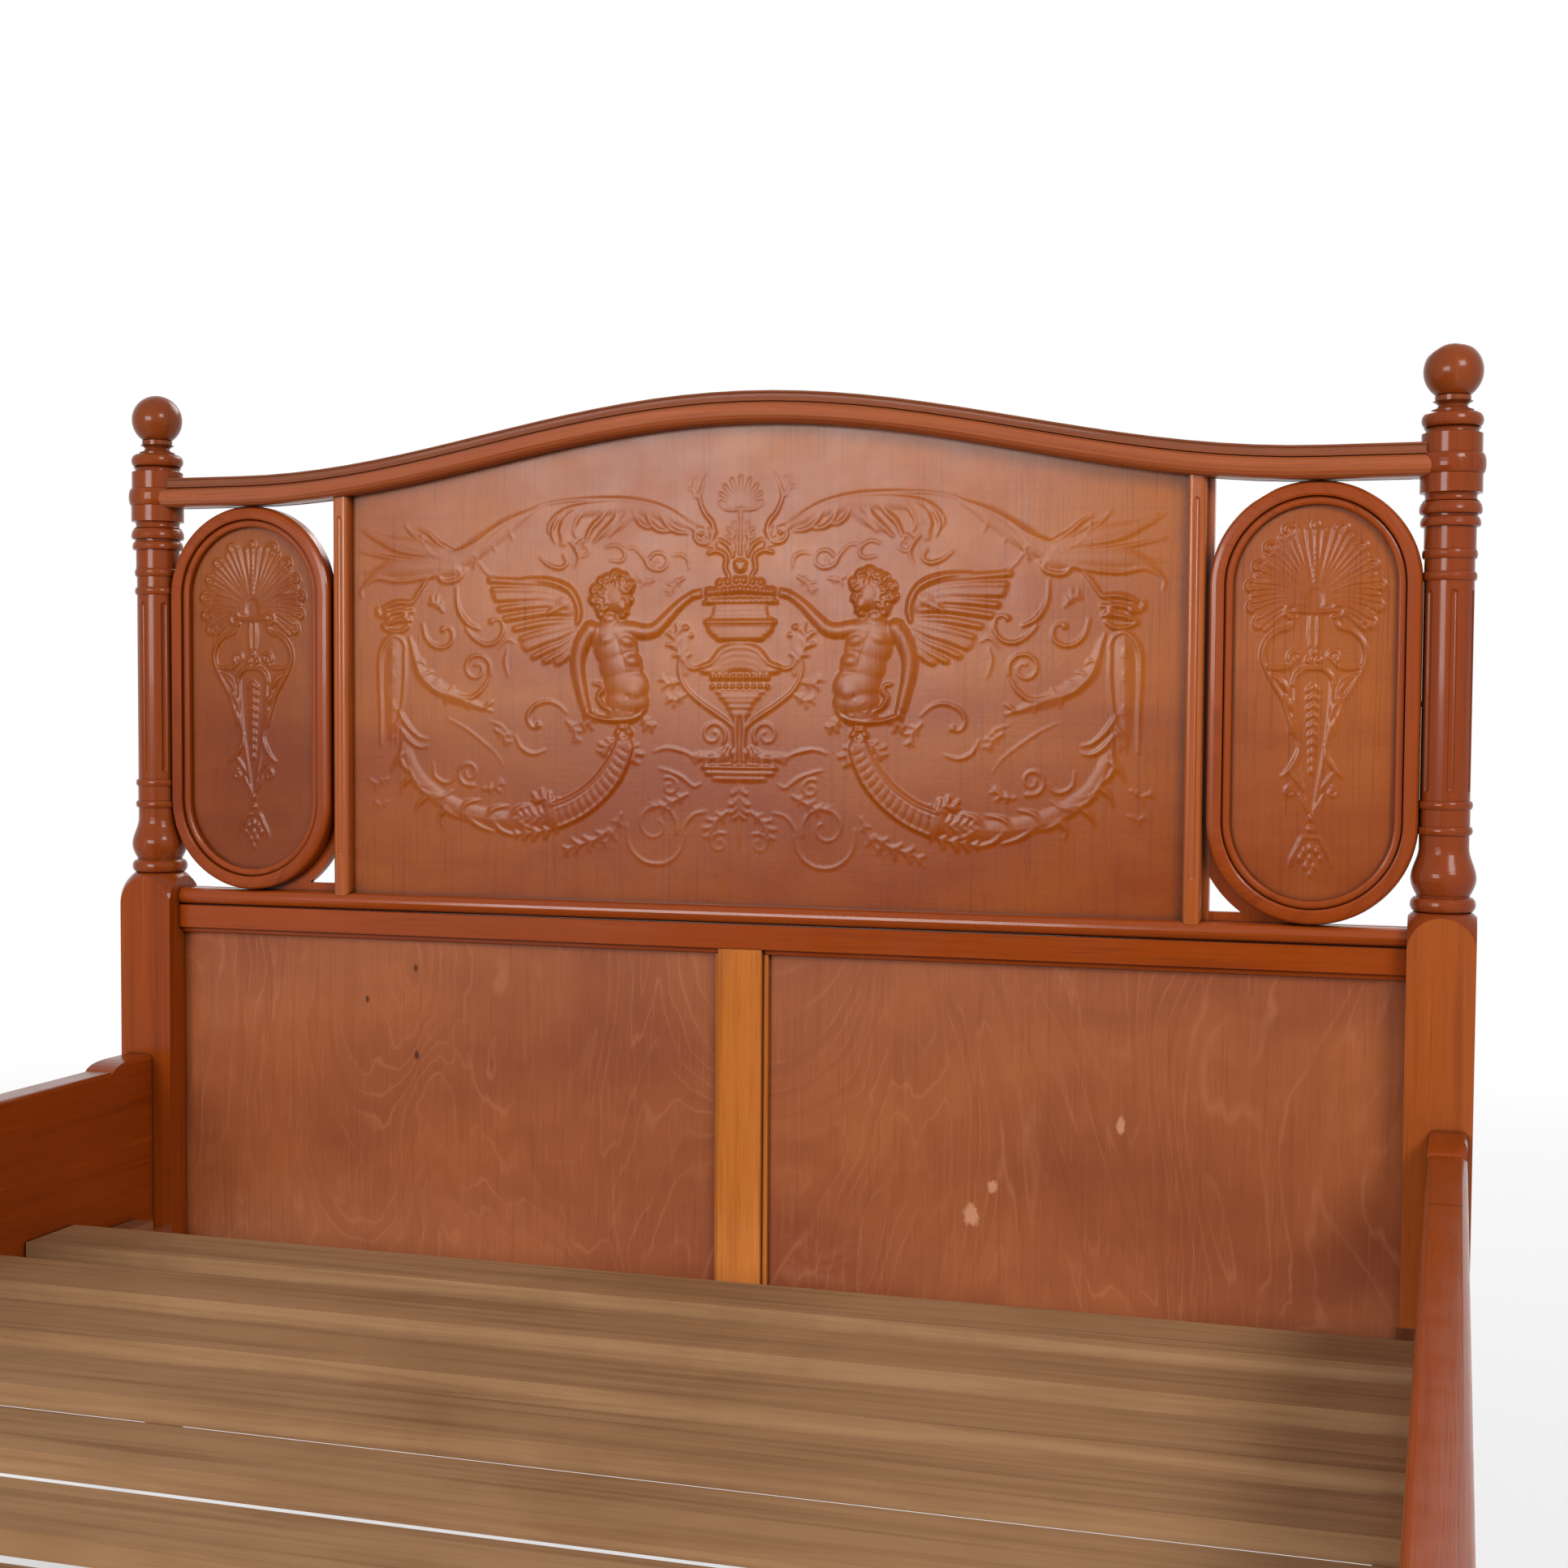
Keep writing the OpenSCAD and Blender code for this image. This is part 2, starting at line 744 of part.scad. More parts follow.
module muntin_face(z0, z1) {
    w = muntin_w / 2;
    translate([-w, -band_front, z0])
        cube([2 * w, band_front - 3, z1 - z0]);
}

module head_muntin() {
    color(beech)
        translate([0, head_y, 0]) {
            muntin_body(bottom_rail_top + fit, mid_rail_low - fit);
            muntin_face(bottom_rail_top - lip, mid_rail_low + lip);
        }
}

module foot_muntin() {
    top = foot_crest_z + rise(0);
    color(beech)
        translate([0, foot_y, 0])
            intersection() {
                union() {
                    muntin_body(bottom_rail_top + fit, top - fit);
                    muntin_face(bottom_rail_top - lip, top - fit);
                }
                union() {
                    under_crest(foot_crest_z, -block_w, block_w, fit);
                    translate([-muntin_w / 2, panel_y, foot_crest_z])
                        cube([muntin_w, ply, rise(0) + groove - 1]);
                }
            }
}

// Fluted stiles beside the centre panel, grooved on the inside for it
stile_x1 = oval_x - oval_r + stile_lap;
stile_x0 = stile_x1 - stile_w;
stile_mid = stile_x0 + stile_face_w / 2;
stile_side = 5;
stile_round = 7;
stile_flute_ends = [40, 13];

function stile_shoulder(s) = [for (i = [0:5]) let (a = 18 * i)
    [s * (stile_face_w / 2 - stile_side * (1 - cos(a))), -stile_front + stile_round * (1 - sin(a))]];

module stile_outline() {
    left = stile_shoulder(-1);
    edge = stile_face_w / 2;
    strip = stile_w - edge;
    strip_y = oval_back + fit;
    translate([stile_mid, 0])
        polygon(concat(
            stile_shoulder(1),
            [for (i = [5:-1:0]) left[i]],
            [[-edge, panel_y - fit], [-edge + groove, panel_y - fit]],
            [[-edge + groove, panel_y + ply + fit], [-edge, panel_y + ply + fit]],
            [[-edge, frame_back], [strip, frame_back], [strip, strip_y], [edge, strip_y]]
        ));
}

// What a stile's foot leaves free, over the mid rail's bead
stile_foot = 6;
module stile_foot_space() {
    curve = [for (i = [0:10]) let (a = 90 - 9 * i)
        [-bead_base - (bead_out + fit) * cos(a), (bead_h / 2 + fit) * sin(a) - bead_h / 2]];
    translate([stile_x0 - cut, 0, mid_rail_top])
        rotate([90, 0, 90])
            linear_extrude(stile_w + 2 * cut)
                polygon(concat([[half_w, -bead_h / 2], [half_w, fit]], curve));
}

module stile_stub(grow) {
    translate([stile_x0 + groove + 2 - grow, panel_y + ply + 1 - grow, mid_rail_top - groove - grow])
        cube([stile_w - groove - 4 + 2 * grow, frame_back - panel_y - ply - 3 + 2 * grow, groove + cut + grow]);
}

// A rod with round ends, for cutting a flute
module capsule(r, z0, z1) {
    steps = 6;
    quarter = [for (i = [0:steps]) 90 * i / steps];
    rotate_extrude($fn = 32)
        polygon(concat(
            [for (a = quarter) [r * sin(a), z0 + r * (1 - cos(a))]],
            [for (a = quarter) [r * cos(a), z1 - r * (1 - sin(a))]]
        ));
}

module right_stile() {
    z0 = mid_rail_top - stile_foot;
    low = mid_rail_top + stile_flute_ends[0];
    high = head_crest_z - stile_flute_ends[1];
    depth = 1.8;
    r = (stile_flute_w * stile_flute_w / 4 + depth * depth) / (2 * depth);
    color(beech)
        translate([0, head_y, 0]) {
            difference() {
                intersection() {
                    translate([0, 0, z0])
                        linear_extrude(head_crest_z + crest_rise - z0)
                            stile_outline();
                    under_crest(head_crest_z, stile_x0 - cut, stile_x1 + cut, fit);
                }
                stile_foot_space();
                translate([stile_mid, -stile_front - r + depth, 0])
                    capsule(r, low, high);
            }
            stile_stub(0);
        }
}

module head_stile_right() { right_stile(); }
module head_stile_left() { mirror([1, 0, 0]) right_stile(); }

// The pressed centre panel, whose top edge follows the crest's groove
module head_centre_panel() {
    edge = stile_x0 + groove - fit;
    steps = 48;
    top = [for (i = [0:steps]) let (x = -edge + 2 * edge * i / steps)
        [x, head_crest_z + rise(x) + groove - 2 * fit]];
    z0 = mid_rail_top - groove + fit;
    color(plywood)
        translate([0, head_y + panel_y + ply, 0])
            rotate([90, 0, 0])
                linear_extrude(ply)
                    polygon(concat([[edge, z0], [-edge, z0]], top));
}

// Plain panels below, let into the muntin, the rails and the posts
panel_x0 = muntin_w / 2 + lip - groove + fit;
panel_x1 = block_in + groove - fit;
panel_z0 = bottom_rail_top - groove + fit;

module right_lower_panel() {
    color(plywood)
        translate([panel_x0, head_y + panel_y, panel_z0])
            cube([panel_x1 - panel_x0, ply, mid_rail_low + groove - fit - panel_z0]);
}

module head_lower_panel_right() { right_lower_panel(); }
module head_lower_panel_left() { mirror([1, 0, 0]) right_lower_panel(); }

module right_foot_panel() {
    steps = 30;
    top = [for (i = [0:steps]) let (x = panel_x0 + (panel_x1 - panel_x0) * i / steps)
        [x, foot_crest_z + rise(x) + groove - 2 * fit]];
    color(plywood)
        translate([0, foot_y + panel_y + ply, 0])
            rotate([90, 0, 0])
                linear_extrude(ply)
                    polygon(concat([[panel_x1, panel_z0], [panel_x0, panel_z0]], top));
}

module foot_panel_right() { right_foot_panel(); }
module foot_panel_left() { mirror([1, 0, 0]) right_foot_panel(); }

// An oval frame: its moulded section bent round two half circles
rebate = 3;
oval_panel_y = -4;
oval_hollow = 9;

function oval_section() =
    let (m = oval_rim - oval_hollow, bead = oval_hollow / 2)
    concat(
        [[oval_r, oval_back], [oval_r, -oval_front + 5], [oval_r - 1, -oval_front + 2.5]],
        [[oval_r - 3, -oval_front + 0.8], [oval_r - 7, -oval_front], [oval_r - m + 2, -oval_front]],
        [[oval_r - m, -oval_front + 0.8], [oval_r - m - 0.4, -oval_front + 3.4]],
        [for (i = [0:5]) let (a = 36 * i)
            [oval_in + bead - 0.2 + (bead - 0.4) * cos(a), -oval_front + 5.2 - 2 * sin(a)]],
        [[oval_in, oval_panel_y - 1.5], [oval_in, oval_panel_y - fit]],
        [[oval_in + rebate, oval_panel_y - fit], [oval_in + rebate, oval_back]]
    );

module oval_half_ring() {
    rotate([90, 0, 0])
        rotate_extrude(angle = 180, $fn = 96)
            polygon([for (p = oval_section()) [p[0], -p[1]]]);
}

module right_oval_frame() {
    color(beech)
        translate([0, head_y, 0])
            difference() {
                union() {
                    translate([oval_x, 0, oval_z1 - oval_r])
                        oval_half_ring();
                    translate([oval_x, 0, oval_z0 + oval_r])
                        mirror([0, 0, 1])
                            oval_half_ring();
                    for (s = [-1, 1])
                        translate([oval_x, 0, oval_z0 + oval_r])
                            linear_extrude(oval_straight)
                                polygon([for (p = oval_section()) [s * p[0], p[1]]]);
                }
                oval_dowel_set(fit);
            }
}

module oval_frame_right() { right_oval_frame(); }
module oval_frame_left() { mirror([1, 0, 0]) right_oval_frame(); }

module right_oval_panel() {
    color(plywood)
        translate([0, head_y, 0])
            oval_solid(oval_in + rebate - fit, oval_panel_y, oval_panel_y + oval_ply);
}

module oval_panel_right() { right_oval_panel(); }
module oval_panel_left() { mirror([1, 0, 0]) right_oval_panel(); }

module oval_dowels() {
    color(beech_dark)
        translate([0, head_y, 0])
            both_sides()
                oval_dowel_set(0);
}

// The open bracket behind the lower inner corner of an oval
bracket_reach = 13;
bracket_under = 8;

module right_bracket() {
    x0 = stile_x1 + fit;
    z0 = mid_rail_top + fit;
    size = oval_r;
    color(beech_dark)
        translate([0, head_y + oval_back + fit + bracket_t, 0])
            rotate([90, 0, 0])
                linear_extrude(bracket_t)
                    difference() {
                        translate([x0, z0])
                            square([size, size]);
                        translate([oval_x, oval_z0 + oval_r])
                            circle(r = oval_r - bracket_under, $fn = 96);
                        difference() {
                            translate([x0 - cut, z0 + bracket_bar + 2])
                                square([size, size]);
                            translate([oval_x, oval_z0 + oval_r])
                                circle(r = oval_r + bracket_reach, $fn = 96);
                        }
                    }
}

module corner_bracket_right() { right_bracket(); }
module corner_bracket_left() { mirror([1, 0, 0]) right_bracket(); }

// Side rails, ledgers and slats
rail_y0 = foot_y + half_w + iron_gap;
rail_y1 = head_y - half_w - iron_gap;
rail_low = rail_top - rail_h;
rail_in = rail_x - rail_t / 2;
ledger_y0 = foot_y + half_w + 40;
ledger_y1 = head_y - half_w - 40;
ledger_x0 = rail_in - ledger_w;
ledger_screw_count = 7;
ledger_screw_inset = 60;
edge_r = 5;

// The end view of a rail, rounded at its four long edges
module rail_end(h) {
    steps = 5;
    corners = [[rail_t - edge_r, edge_r, -90], [rail_t - edge_r, h - edge_r, 0],
        [edge_r, h - edge_r, 90], [edge_r, edge_r, 180]];
    polygon([for (c = corners) for (i = [0:steps]) let (a = c[2] + 90 * i / steps)
        [c[0] + edge_r * cos(a), c[1] + edge_r * sin(a)]]);
}

module rail_bar(len, h) {
    rotate([90, 0, 0])
        linear_extrude(len)
            rail_end(h);
}

// The ear of a rail, seen from the side, rounded down towards the middle
module rail_ear() {
    round_len = 44;
    low = rail_h - edge_r;
    curve = [for (i = [0:6]) let (a = 15 * i)
        [ear_len - round_len + round_len * sin(a), rail_h - edge_r + (ear_h + edge_r) * cos(a)]];
    rotate([90, 0, 90])
        linear_extrude(rail_t)
            polygon(concat([[0, low], [0, rail_h + ear_h]], curve));
}

module right_side_rail() {
    len = rail_y1 - rail_y0;
    color(beech)
        difference() {
            union() {
                translate([rail_in, rail_y1, rail_low])
                    rail_bar(len, rail_h);
                intersection() {
                    translate([rail_in, rail_y1, rail_low])
                        rail_bar(len, rail_h + ear_h);
                    union() {
                        translate([rail_in, rail_y0, rail_low])
                            rail_ear();
                        translate([rail_in, rail_y1, rail_low])
                            mirror([0, 1, 0])
                                rail_ear();
                    }
                }
            }
            for (dir = [-1, 1])
                at_joint(dir) {
                    mirror([0, 1, 0])
                        iron_box(-cut, iron_t + iron_gap, fit);
                    rail_screws(fit);
                }
            ledger_screw_set(fit);
        }
}

module side_rail_right() { right_side_rail(); }
module side_rail_left() { mirror([1, 0, 0]) right_side_rail(); }

ledger_screw_len = ledger_w + 16;
module ledger_screw_set(grow) {
    pitch = (ledger_y1 - ledger_y0 - 2 * ledger_screw_inset) / (ledger_screw_count - 1);
    for (i = [0:ledger_screw_count - 1])
        translate([ledger_x0, ledger_y0 + ledger_screw_inset + pitch * i, rail_low + ledger_h / 2])
            rotate([0, 90, 0]) {
                cylinder(r = screw_r + grow, h = ledger_screw_len + grow, $fn = 24);
                cylinder(r1 = head_r + grow, r2 = screw_r + grow, h = head_h, $fn = 24);
            }
}

module right_ledger() {
    color(beech_dark)
        difference() {
            translate([ledger_x0, ledger_y0, rail_low])
                cube([ledger_w, ledger_y1 - ledger_y0, ledger_h]);
            ledger_screw_set(fit);
        }
}

module ledger_right() { right_ledger(); }
module ledger_left() { mirror([1, 0, 0]) right_ledger(); }

slat_gap = 2;
slat_pitch = (bed_length - 2 * slat_end) / (slat_count - 1);
module slat(i) {
    half = rail_in - slat_gap;
    color(plywood)
        translate([-half, head_y - slat_end - slat_pitch * i - slat_w / 2, rail_low + ledger_h])
            cube([2 * half, slat_w, slat_t]);
}

module slat_01() { slat(0); }
module slat_02() { slat(1); }
module slat_03() { slat(2); }
module slat_04() { slat(3); }
module slat_05() { slat(4); }
module slat_06() { slat(5); }
module slat_07() { slat(6); }
module slat_08() { slat(7); }
module slat_09() { slat(8); }
module slat_10() { slat(9); }
module slat_11() { slat(10); }
module slat_12() { slat(11); }

// Bed irons: hooked plates on the rails, slotted plates in the posts
module at_joints() {
    both_sides()
        for (dir = [-1, 1])
            at_joint(dir)
                children();
}

module rail_hook_plates() {
    color(steel)
        at_joints()
            difference() {
                union() {
                    iron_box(-iron_t - iron_gap, -iron_gap, 0);
                    for (z = hook_z)
                        hook(z);
                }
                rail_screws(fit / 2);
            }
}

module post_slot_plates() {
    color(steel)
        at_joints()
            difference() {
                iron_box(iron_gap, iron_t + iron_gap, 0);
                for (z = hook_z)
                    hook_slot(z);
                post_screws(fit / 2);
            }
}

module plate_screws() {
    color(steel)
        at_joints() {
            post_screws(0);
            rail_screws(0);
        }
}

module ledger_screws() {
    color(steel)
        both_sides()
            ledger_screw_set(0);
}

head_post_left();
head_post_right();
head_finial_left();
head_finial_right();
head_crest_rail();
head_mid_rail();
head_bottom_rail();
head_muntin();
head_stile_left();
head_stile_right();
head_centre_panel();
head_lower_panel_left();
head_lower_panel_right();
oval_frame_left();
oval_frame_right();
oval_panel_left();
oval_panel_right();
oval_dowels();
corner_bracket_left();
corner_bracket_right();
foot_post_left();
foot_post_right();
foot_finial_left();
foot_finial_right();
foot_crest_rail();
foot_bottom_rail();
foot_muntin();
foot_panel_left();
foot_panel_right();
side_rail_left();
side_rail_right();
ledger_left();
ledger_right();
slat_01();
slat_02();
slat_03();
slat_04();
slat_05();
slat_06();
slat_07();
slat_08();
slat_09();
slat_10();
slat_11();
slat_12();
rail_hook_plates();
post_slot_plates();
plate_screws();
ledger_screws();
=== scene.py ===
"""A stained and polished bentwood double bed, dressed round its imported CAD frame."""

import math
from fnmatch import fnmatchcase

import bpy
import numpy as np
from mathutils import Matrix, Vector

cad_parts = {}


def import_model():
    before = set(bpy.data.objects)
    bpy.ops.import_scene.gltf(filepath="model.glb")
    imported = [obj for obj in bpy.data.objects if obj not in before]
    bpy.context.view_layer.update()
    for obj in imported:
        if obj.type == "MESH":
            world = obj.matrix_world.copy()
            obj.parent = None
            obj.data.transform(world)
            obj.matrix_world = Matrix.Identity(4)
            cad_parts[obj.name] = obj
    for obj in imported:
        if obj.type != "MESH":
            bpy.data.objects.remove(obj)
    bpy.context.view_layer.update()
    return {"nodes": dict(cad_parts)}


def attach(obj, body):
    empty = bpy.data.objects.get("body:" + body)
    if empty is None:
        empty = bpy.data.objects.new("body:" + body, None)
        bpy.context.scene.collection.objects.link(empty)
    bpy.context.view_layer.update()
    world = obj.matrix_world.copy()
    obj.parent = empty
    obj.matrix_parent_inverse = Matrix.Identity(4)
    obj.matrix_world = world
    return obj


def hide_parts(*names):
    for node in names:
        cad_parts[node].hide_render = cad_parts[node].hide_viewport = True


# Sizes repeated from the CAD source, in metres
HEAD_Y = 0.9925
RAIL_TOP = 0.701
OVAL_X = 0.5935
OVAL_R = 0.1027
OVAL_LOW = 0.8039
OVAL_HIGH = 1.0371
CREST_LOW = 1.140
CREST_RISE = 0.0745
CREST_BELL = 0.600
PANEL_HALF = 0.4759
PANEL_LOW = 0.6932
PANEL_IN_CREST = 0.0076
PANEL_FRONT = HEAD_Y + 0.001
PANEL_BACK = HEAD_Y + 0.006
OVAL_PANEL_R = 0.0813
OVAL_FRONT = HEAD_Y - 0.004
OVAL_BACK = HEAD_Y
PATTERN_X = -0.006
BLOCK_TOP = RAIL_TOP + 0.020
CREST_BEADS = CREST_LOW + 0.021
RAIL_SEAM = 0.670

# Columns and rows of the pressed panels' meshes
CENTRE_GRID = (740, 400)
OVAL_GRID = (130, 330)

# The photograph's camera: pixels, metres and radians
FOCAL = 2693.47
PHOTO_WIDTH = 1932
MIDDLE_ROW = 1005.47
CAMERA_PLACE = (0.73093, HEAD_Y - 2.22917, RAIL_TOP + 0.20779)
YAW, PITCH, ROLL = 0.2986, 0.0475, 0.0063

# Colours, linear
BEECH = (0.285, 0.049, 0.0040)
BEECH_LOW = (0.205, 0.033, 0.0030)
BEECH_DARK = (0.120, 0.018, 0.0030)
BEECH_PALE = (0.430, 0.100, 0.0130)
VENEER = (0.315, 0.078, 0.0030)
VENEER_DARK = (0.222, 0.037, 0.0010)
PLY = (0.335, 0.100, 0.0330)
PLY_DARK = (0.190, 0.044, 0.0130)
PLY_PALE = (0.430, 0.155, 0.0700)
PLY_WORN = (0.560, 0.260, 0.1500)
# near black of the painted shade in corners, also the colour of the seam line
CREVICE = (0.030, 0.007, 0.003)


def crest_rise(x):
    """Height of the crest's underside above its ends."""
    x = np.minimum(np.abs(x), CREST_BELL)
    return CREST_RISE * (1 + np.cos(np.pi * x / CREST_BELL)) / 2


# Materials


class Graph:
    """Adds shader nodes with few words."""

    def __init__(self, owner):
        owner.use_nodes = True
        self.owner = owner
        self.tree = owner.node_tree
        self.shader = self.tree.nodes.get("Principled BSDF")

    def add(self, kind, **settings):
        node = self.tree.nodes.new(kind)
        for key, value in settings.items():
            setattr(node, key, value)
        return node

    def put(self, target, value):
        """Links a socket, or sets a plain value."""
        if isinstance(value, bpy.types.NodeSocket):
            self.tree.links.new(value, target)
        else:
            target.default_value = value

    def feed(self, node, *values):
        """Fills a node's inputs in their order and returns its first output."""
        for socket, value in zip(node.inputs, values):
            self.put(socket, value)
        return node.outputs[0]

    def math(self, operation, *values):
        return self.feed(self.add("ShaderNodeMath", operation=operation), *values)

    def point(self, kind="Object"):
        """Where the shaded point is, or the way that it faces."""
        return self.add("ShaderNodeTexCoord").outputs[kind]

    def split(self, vector):
        node = self.add("ShaderNodeSeparateXYZ")
        self.feed(node, vector)
        return node.outputs

    def axes(self):
        """Object coordinates as three sockets."""
        return self.split(self.point())

    def vector(self, x, y, z):
        return self.feed(self.add("ShaderNodeCombineXYZ"), x, y, z)

    def place(self, scale, vector=None):
        """Object coordinates times a scale, in cycles per metre."""
        node = self.add("ShaderNodeMapping")
        node.inputs["Scale"].default_value = scale
        return self.feed(node, self.point() if vector is None else vector)

    def noise(self, scale, detail=4.0, rough=0.5, warp=0.0, vector=None):
        node = self.add("ShaderNodeTexNoise")
        self.put(node.inputs["Vector"], self.place(scale, vector))
        node.inputs["Scale"].default_value = 1.0
        node.inputs["Detail"].default_value = detail
        node.inputs["Roughness"].default_value = rough
        node.inputs["Distortion"].default_value = warp
        return node.outputs["Fac"]

    def ramp(self, value, stops):
        """A colour ramp from (place, colour or grey) pairs."""
        node = self.add("ShaderNodeValToRGB")
        band = node.color_ramp
        while len(band.elements) < len(stops):
            band.elements.new(0.5)
        for element, (at, colour) in zip(band.elements, stops):
            element.position = at
            colour = (colour,) * 3 if isinstance(colour, (int, float)) else colour
            element.color = (*colour, 1)
        return self.feed(node, value)

    def mix(self, fac, a, b, blend="MIX"):
        node = self.add("ShaderNodeMix", data_type="RGBA", blend_type=blend)
        self.put(node.inputs[0], fac)
        self.put(node.inputs[6], (*a, 1) if isinstance(a, tuple) else a)
        self.put(node.inputs[7], (*b, 1) if isinstance(b, tuple) else b)
        return node.outputs[2]

    def times(self, colour, factor):
        return self.mix(1.0, colour, factor, "MULTIPLY")

    def crevice(self, reach):
        """0 in the open, up to 1 in a corner."""
        node = self.add("ShaderNodeAmbientOcclusion", samples=6)
        node.inputs["Distance"].default_value = reach
        return self.math("SUBTRACT", 1, node.outputs["AO"])

    def bump(self, height, depth, strength=1.0, normal=None):
        node = self.add("ShaderNodeBump")
        node.inputs["Distance"].default_value = depth
        node.inputs["Strength"].default_value = strength
        self.put(node.inputs["Height"], height)
        if normal is not None:
            self.put(node.inputs["Normal"], normal)
        return node.outputs[0]

    def spot(self, x, z, half_x, half_z):
        """Distance from a point of the front, 1 at an ellipse's edge."""
        px, _, pz = self.axes()
        dx = self.math("DIVIDE", self.math("SUBTRACT", px, x), half_x)
        dz = self.math("DIVIDE", self.math("SUBTRACT", pz, z), half_z)
        return self.length(dx, dz)

    def length(self, a, b):
        squares = self.math("MULTIPLY", a, a), self.math("MULTIPLY", b, b)
        return self.math("SQRT", self.math("ADD", *squares))

    def facing(self):
        """How far the surface faces left or right, front or back, and up or down."""
        return [self.math("ABSOLUTE", axis) for axis in self.split(self.point("Normal"))]

    def flat_sides(self):
        """1 on the square block's flat faces, 0 on its arches and the turned part."""
        across, ahead, _ = self.facing()
        face = self.math("MAXIMUM", across, ahead)
        low = self.math("LESS_THAN", self.axes()[2], BLOCK_TOP)
        return self.math("MULTIPLY", low, self.ramp(face, [(0.97, 0), (0.995, 1)]))

    def finish(self, colour, roughness, normal=None):
        """Fills the shader's main sockets and returns the material."""
        self.put(self.shader.inputs["Base Color"], colour)
        self.put(self.shader.inputs["Roughness"], roughness)
        if normal is not None:
            self.put(self.shader.inputs["Normal"], normal)
        return self.owner

    def gloss(self, level, coat=0.0, coat_rough=0.1):
        self.shader.inputs["Specular IOR Level"].default_value = level
        self.shader.inputs["Coat Weight"].default_value = coat
        self.shader.inputs["Coat Roughness"].default_value = coat_rough

    def seen_directly(self):
        """1 for camera, glossy and transmission rays."""
        path = self.add("ShaderNodeLightPath")
        seen = path.outputs["Is Camera Ray"]
        for kind in ("Is Glossy Ray", "Is Transmission Ray"):
            seen = self.math("MAXIMUM", seen, path.outputs[kind])
        return seen

    def surface(self, output, *parts):
        """Mixes two shaders by a factor and shows the result."""
        mixed = self.feed(self.add("ShaderNodeMixShader"), *parts)
        self.put(self.tree.nodes[output].inputs["Surface"], mixed)


def material(name):
    return Graph(bpy.data.materials.new(name))


def grain_scale(axis, along, across):
    return tuple(along if name == axis else across for name in "xyz")


def along_oval(g):
    """Coordinates that follow a bent oval: x across, z along its grain."""
    x, y, z = g.axes()
    across = g.math("SUBTRACT", g.math("ABSOLUTE", x), OVAL_X)
    middle = g.math("MINIMUM", g.math("MAXIMUM", z, OVAL_LOW), OVAL_HIGH)
    up = g.math("SUBTRACT", z, middle)
    out = g.length(across, up)
    angle = g.math("ARCTAN2", up, g.math("ABSOLUTE", across))
    along = g.math("ADD", middle, g.math("MULTIPLY", angle, OVAL_R))
    return g.vector(g.math("ADD", out, x), y, along)


def along_crest(g):
    """Coordinates in which the crest rail is straight."""
    x, y, z = g.axes()
    bent = g.math("MINIMUM", g.math("ABSOLUTE", x), CREST_BELL)
    wave = g.math("COSINE", g.math("MULTIPLY", bent, math.pi / CREST_BELL))
    rise = g.math("MULTIPLY_ADD", wave, CREST_RISE / 2, CREST_RISE / 2)
    return g.vector(x, y, g.math("SUBTRACT", z, rise))


def polished_wood(name, axis, path=None, corner_shade=0.8, tone_and_painted_light=(1, 1, 1), turned=None, seam=None,
                  beads=None, gloss=0.15, rough=0.17):
    """Stained beech under shellac, with its grain along an axis or a path."""
    g = material(name)
    vector = path(g) if path else None
    streaks = g.noise(grain_scale(axis, 1.6, 60), 6, 0.62, 0.4, vector=vector)
    clouds = g.noise(grain_scale(axis, 2.5, 9), 3, 0.5, 0.2, vector=vector)
    lines = g.noise(grain_scale(axis, 9, 650), 3, 0.7, vector=vector)
    colour = g.ramp(streaks, [(0.28, BEECH_LOW), (0.48, BEECH), (0.62, BEECH), (0.84, BEECH_PALE)])
    # tone of the piece; in most pieces this tint also holds painted light, shade and sheen
    colour = g.times(colour, tone_and_painted_light)
    # partly painted shade: the arches and the turned part take the turned factor, while the block's flat
    # faces keep the brighter tint
    if turned:
        colour = g.mix(g.flat_sides(), g.times(colour, turned), colour)
    colour = g.mix(g.math("MULTIPLY", clouds, 0.62), colour, g.times(colour, (0.62, 0.52, 0.45)))
    colour = g.mix(g.ramp(lines, [(0.28, 0.60), (0.44, 0)]), colour, BEECH_DARK)
    flecks = g.add("ShaderNodeTexVoronoi", feature="F1")
    g.put(flecks.inputs["Vector"], g.place(grain_scale(axis, 170, 900), vector))
    fleck = g.ramp(flecks.outputs["Distance"], [(0.10, 0.5), (0.20, 0)])
    colour = g.mix(fleck, colour, BEECH_DARK)
    shade = g.ramp(g.crevice(0.020), [(0.30, 0), (0.78, 0.60)])
    colour = g.mix(shade, colour, g.times(colour, (0.35, 0.26, 0.20)))
    # painted shade: the crest's beads above its half-round are darker; they are also rougher
    if beads:
        on_beads = g.ramp(g.math("SUBTRACT", g.split(vector)[2], beads), [(0, 0), (0.003, 1)])
        colour = g.mix(on_beads, colour, g.times(colour, (0.62, 0.66, 0.7)))
    if seam:
        off = g.math("ABSOLUTE", g.math("SUBTRACT", g.axes()[1], seam))
        line = g.math("MULTIPLY", g.ramp(off, [(0.0006, 0.85), (0.0016, 0)]), g.facing()[2])
        colour = g.mix(line, colour, CREVICE)
    # painted shade: near black in corners and grooves, strongest within 5 mm of other surfaces
    corner = g.ramp(g.crevice(0.005), [(0.22, 0), (0.58, corner_shade)])
    colour = g.mix(corner, colour, CREVICE)
    wear = g.noise((14, 14, 14), 5, 0.6)
    roughness = g.ramp(wear, [(0.3, rough), (0.7, rough + 0.11)])
    if beads:
        roughness = g.math("MULTIPLY_ADD", on_beads, 0.25, roughness)
    g.gloss(gloss, 0.08, 0.06)
    waves = g.bump(g.noise(grain_scale(axis, 3, 34), 2, 0.5, vector=vector), 0.0010, 0.3)
    return g.finish(colour, roughness, g.bump(lines, 0.0002, 0.3, waves))


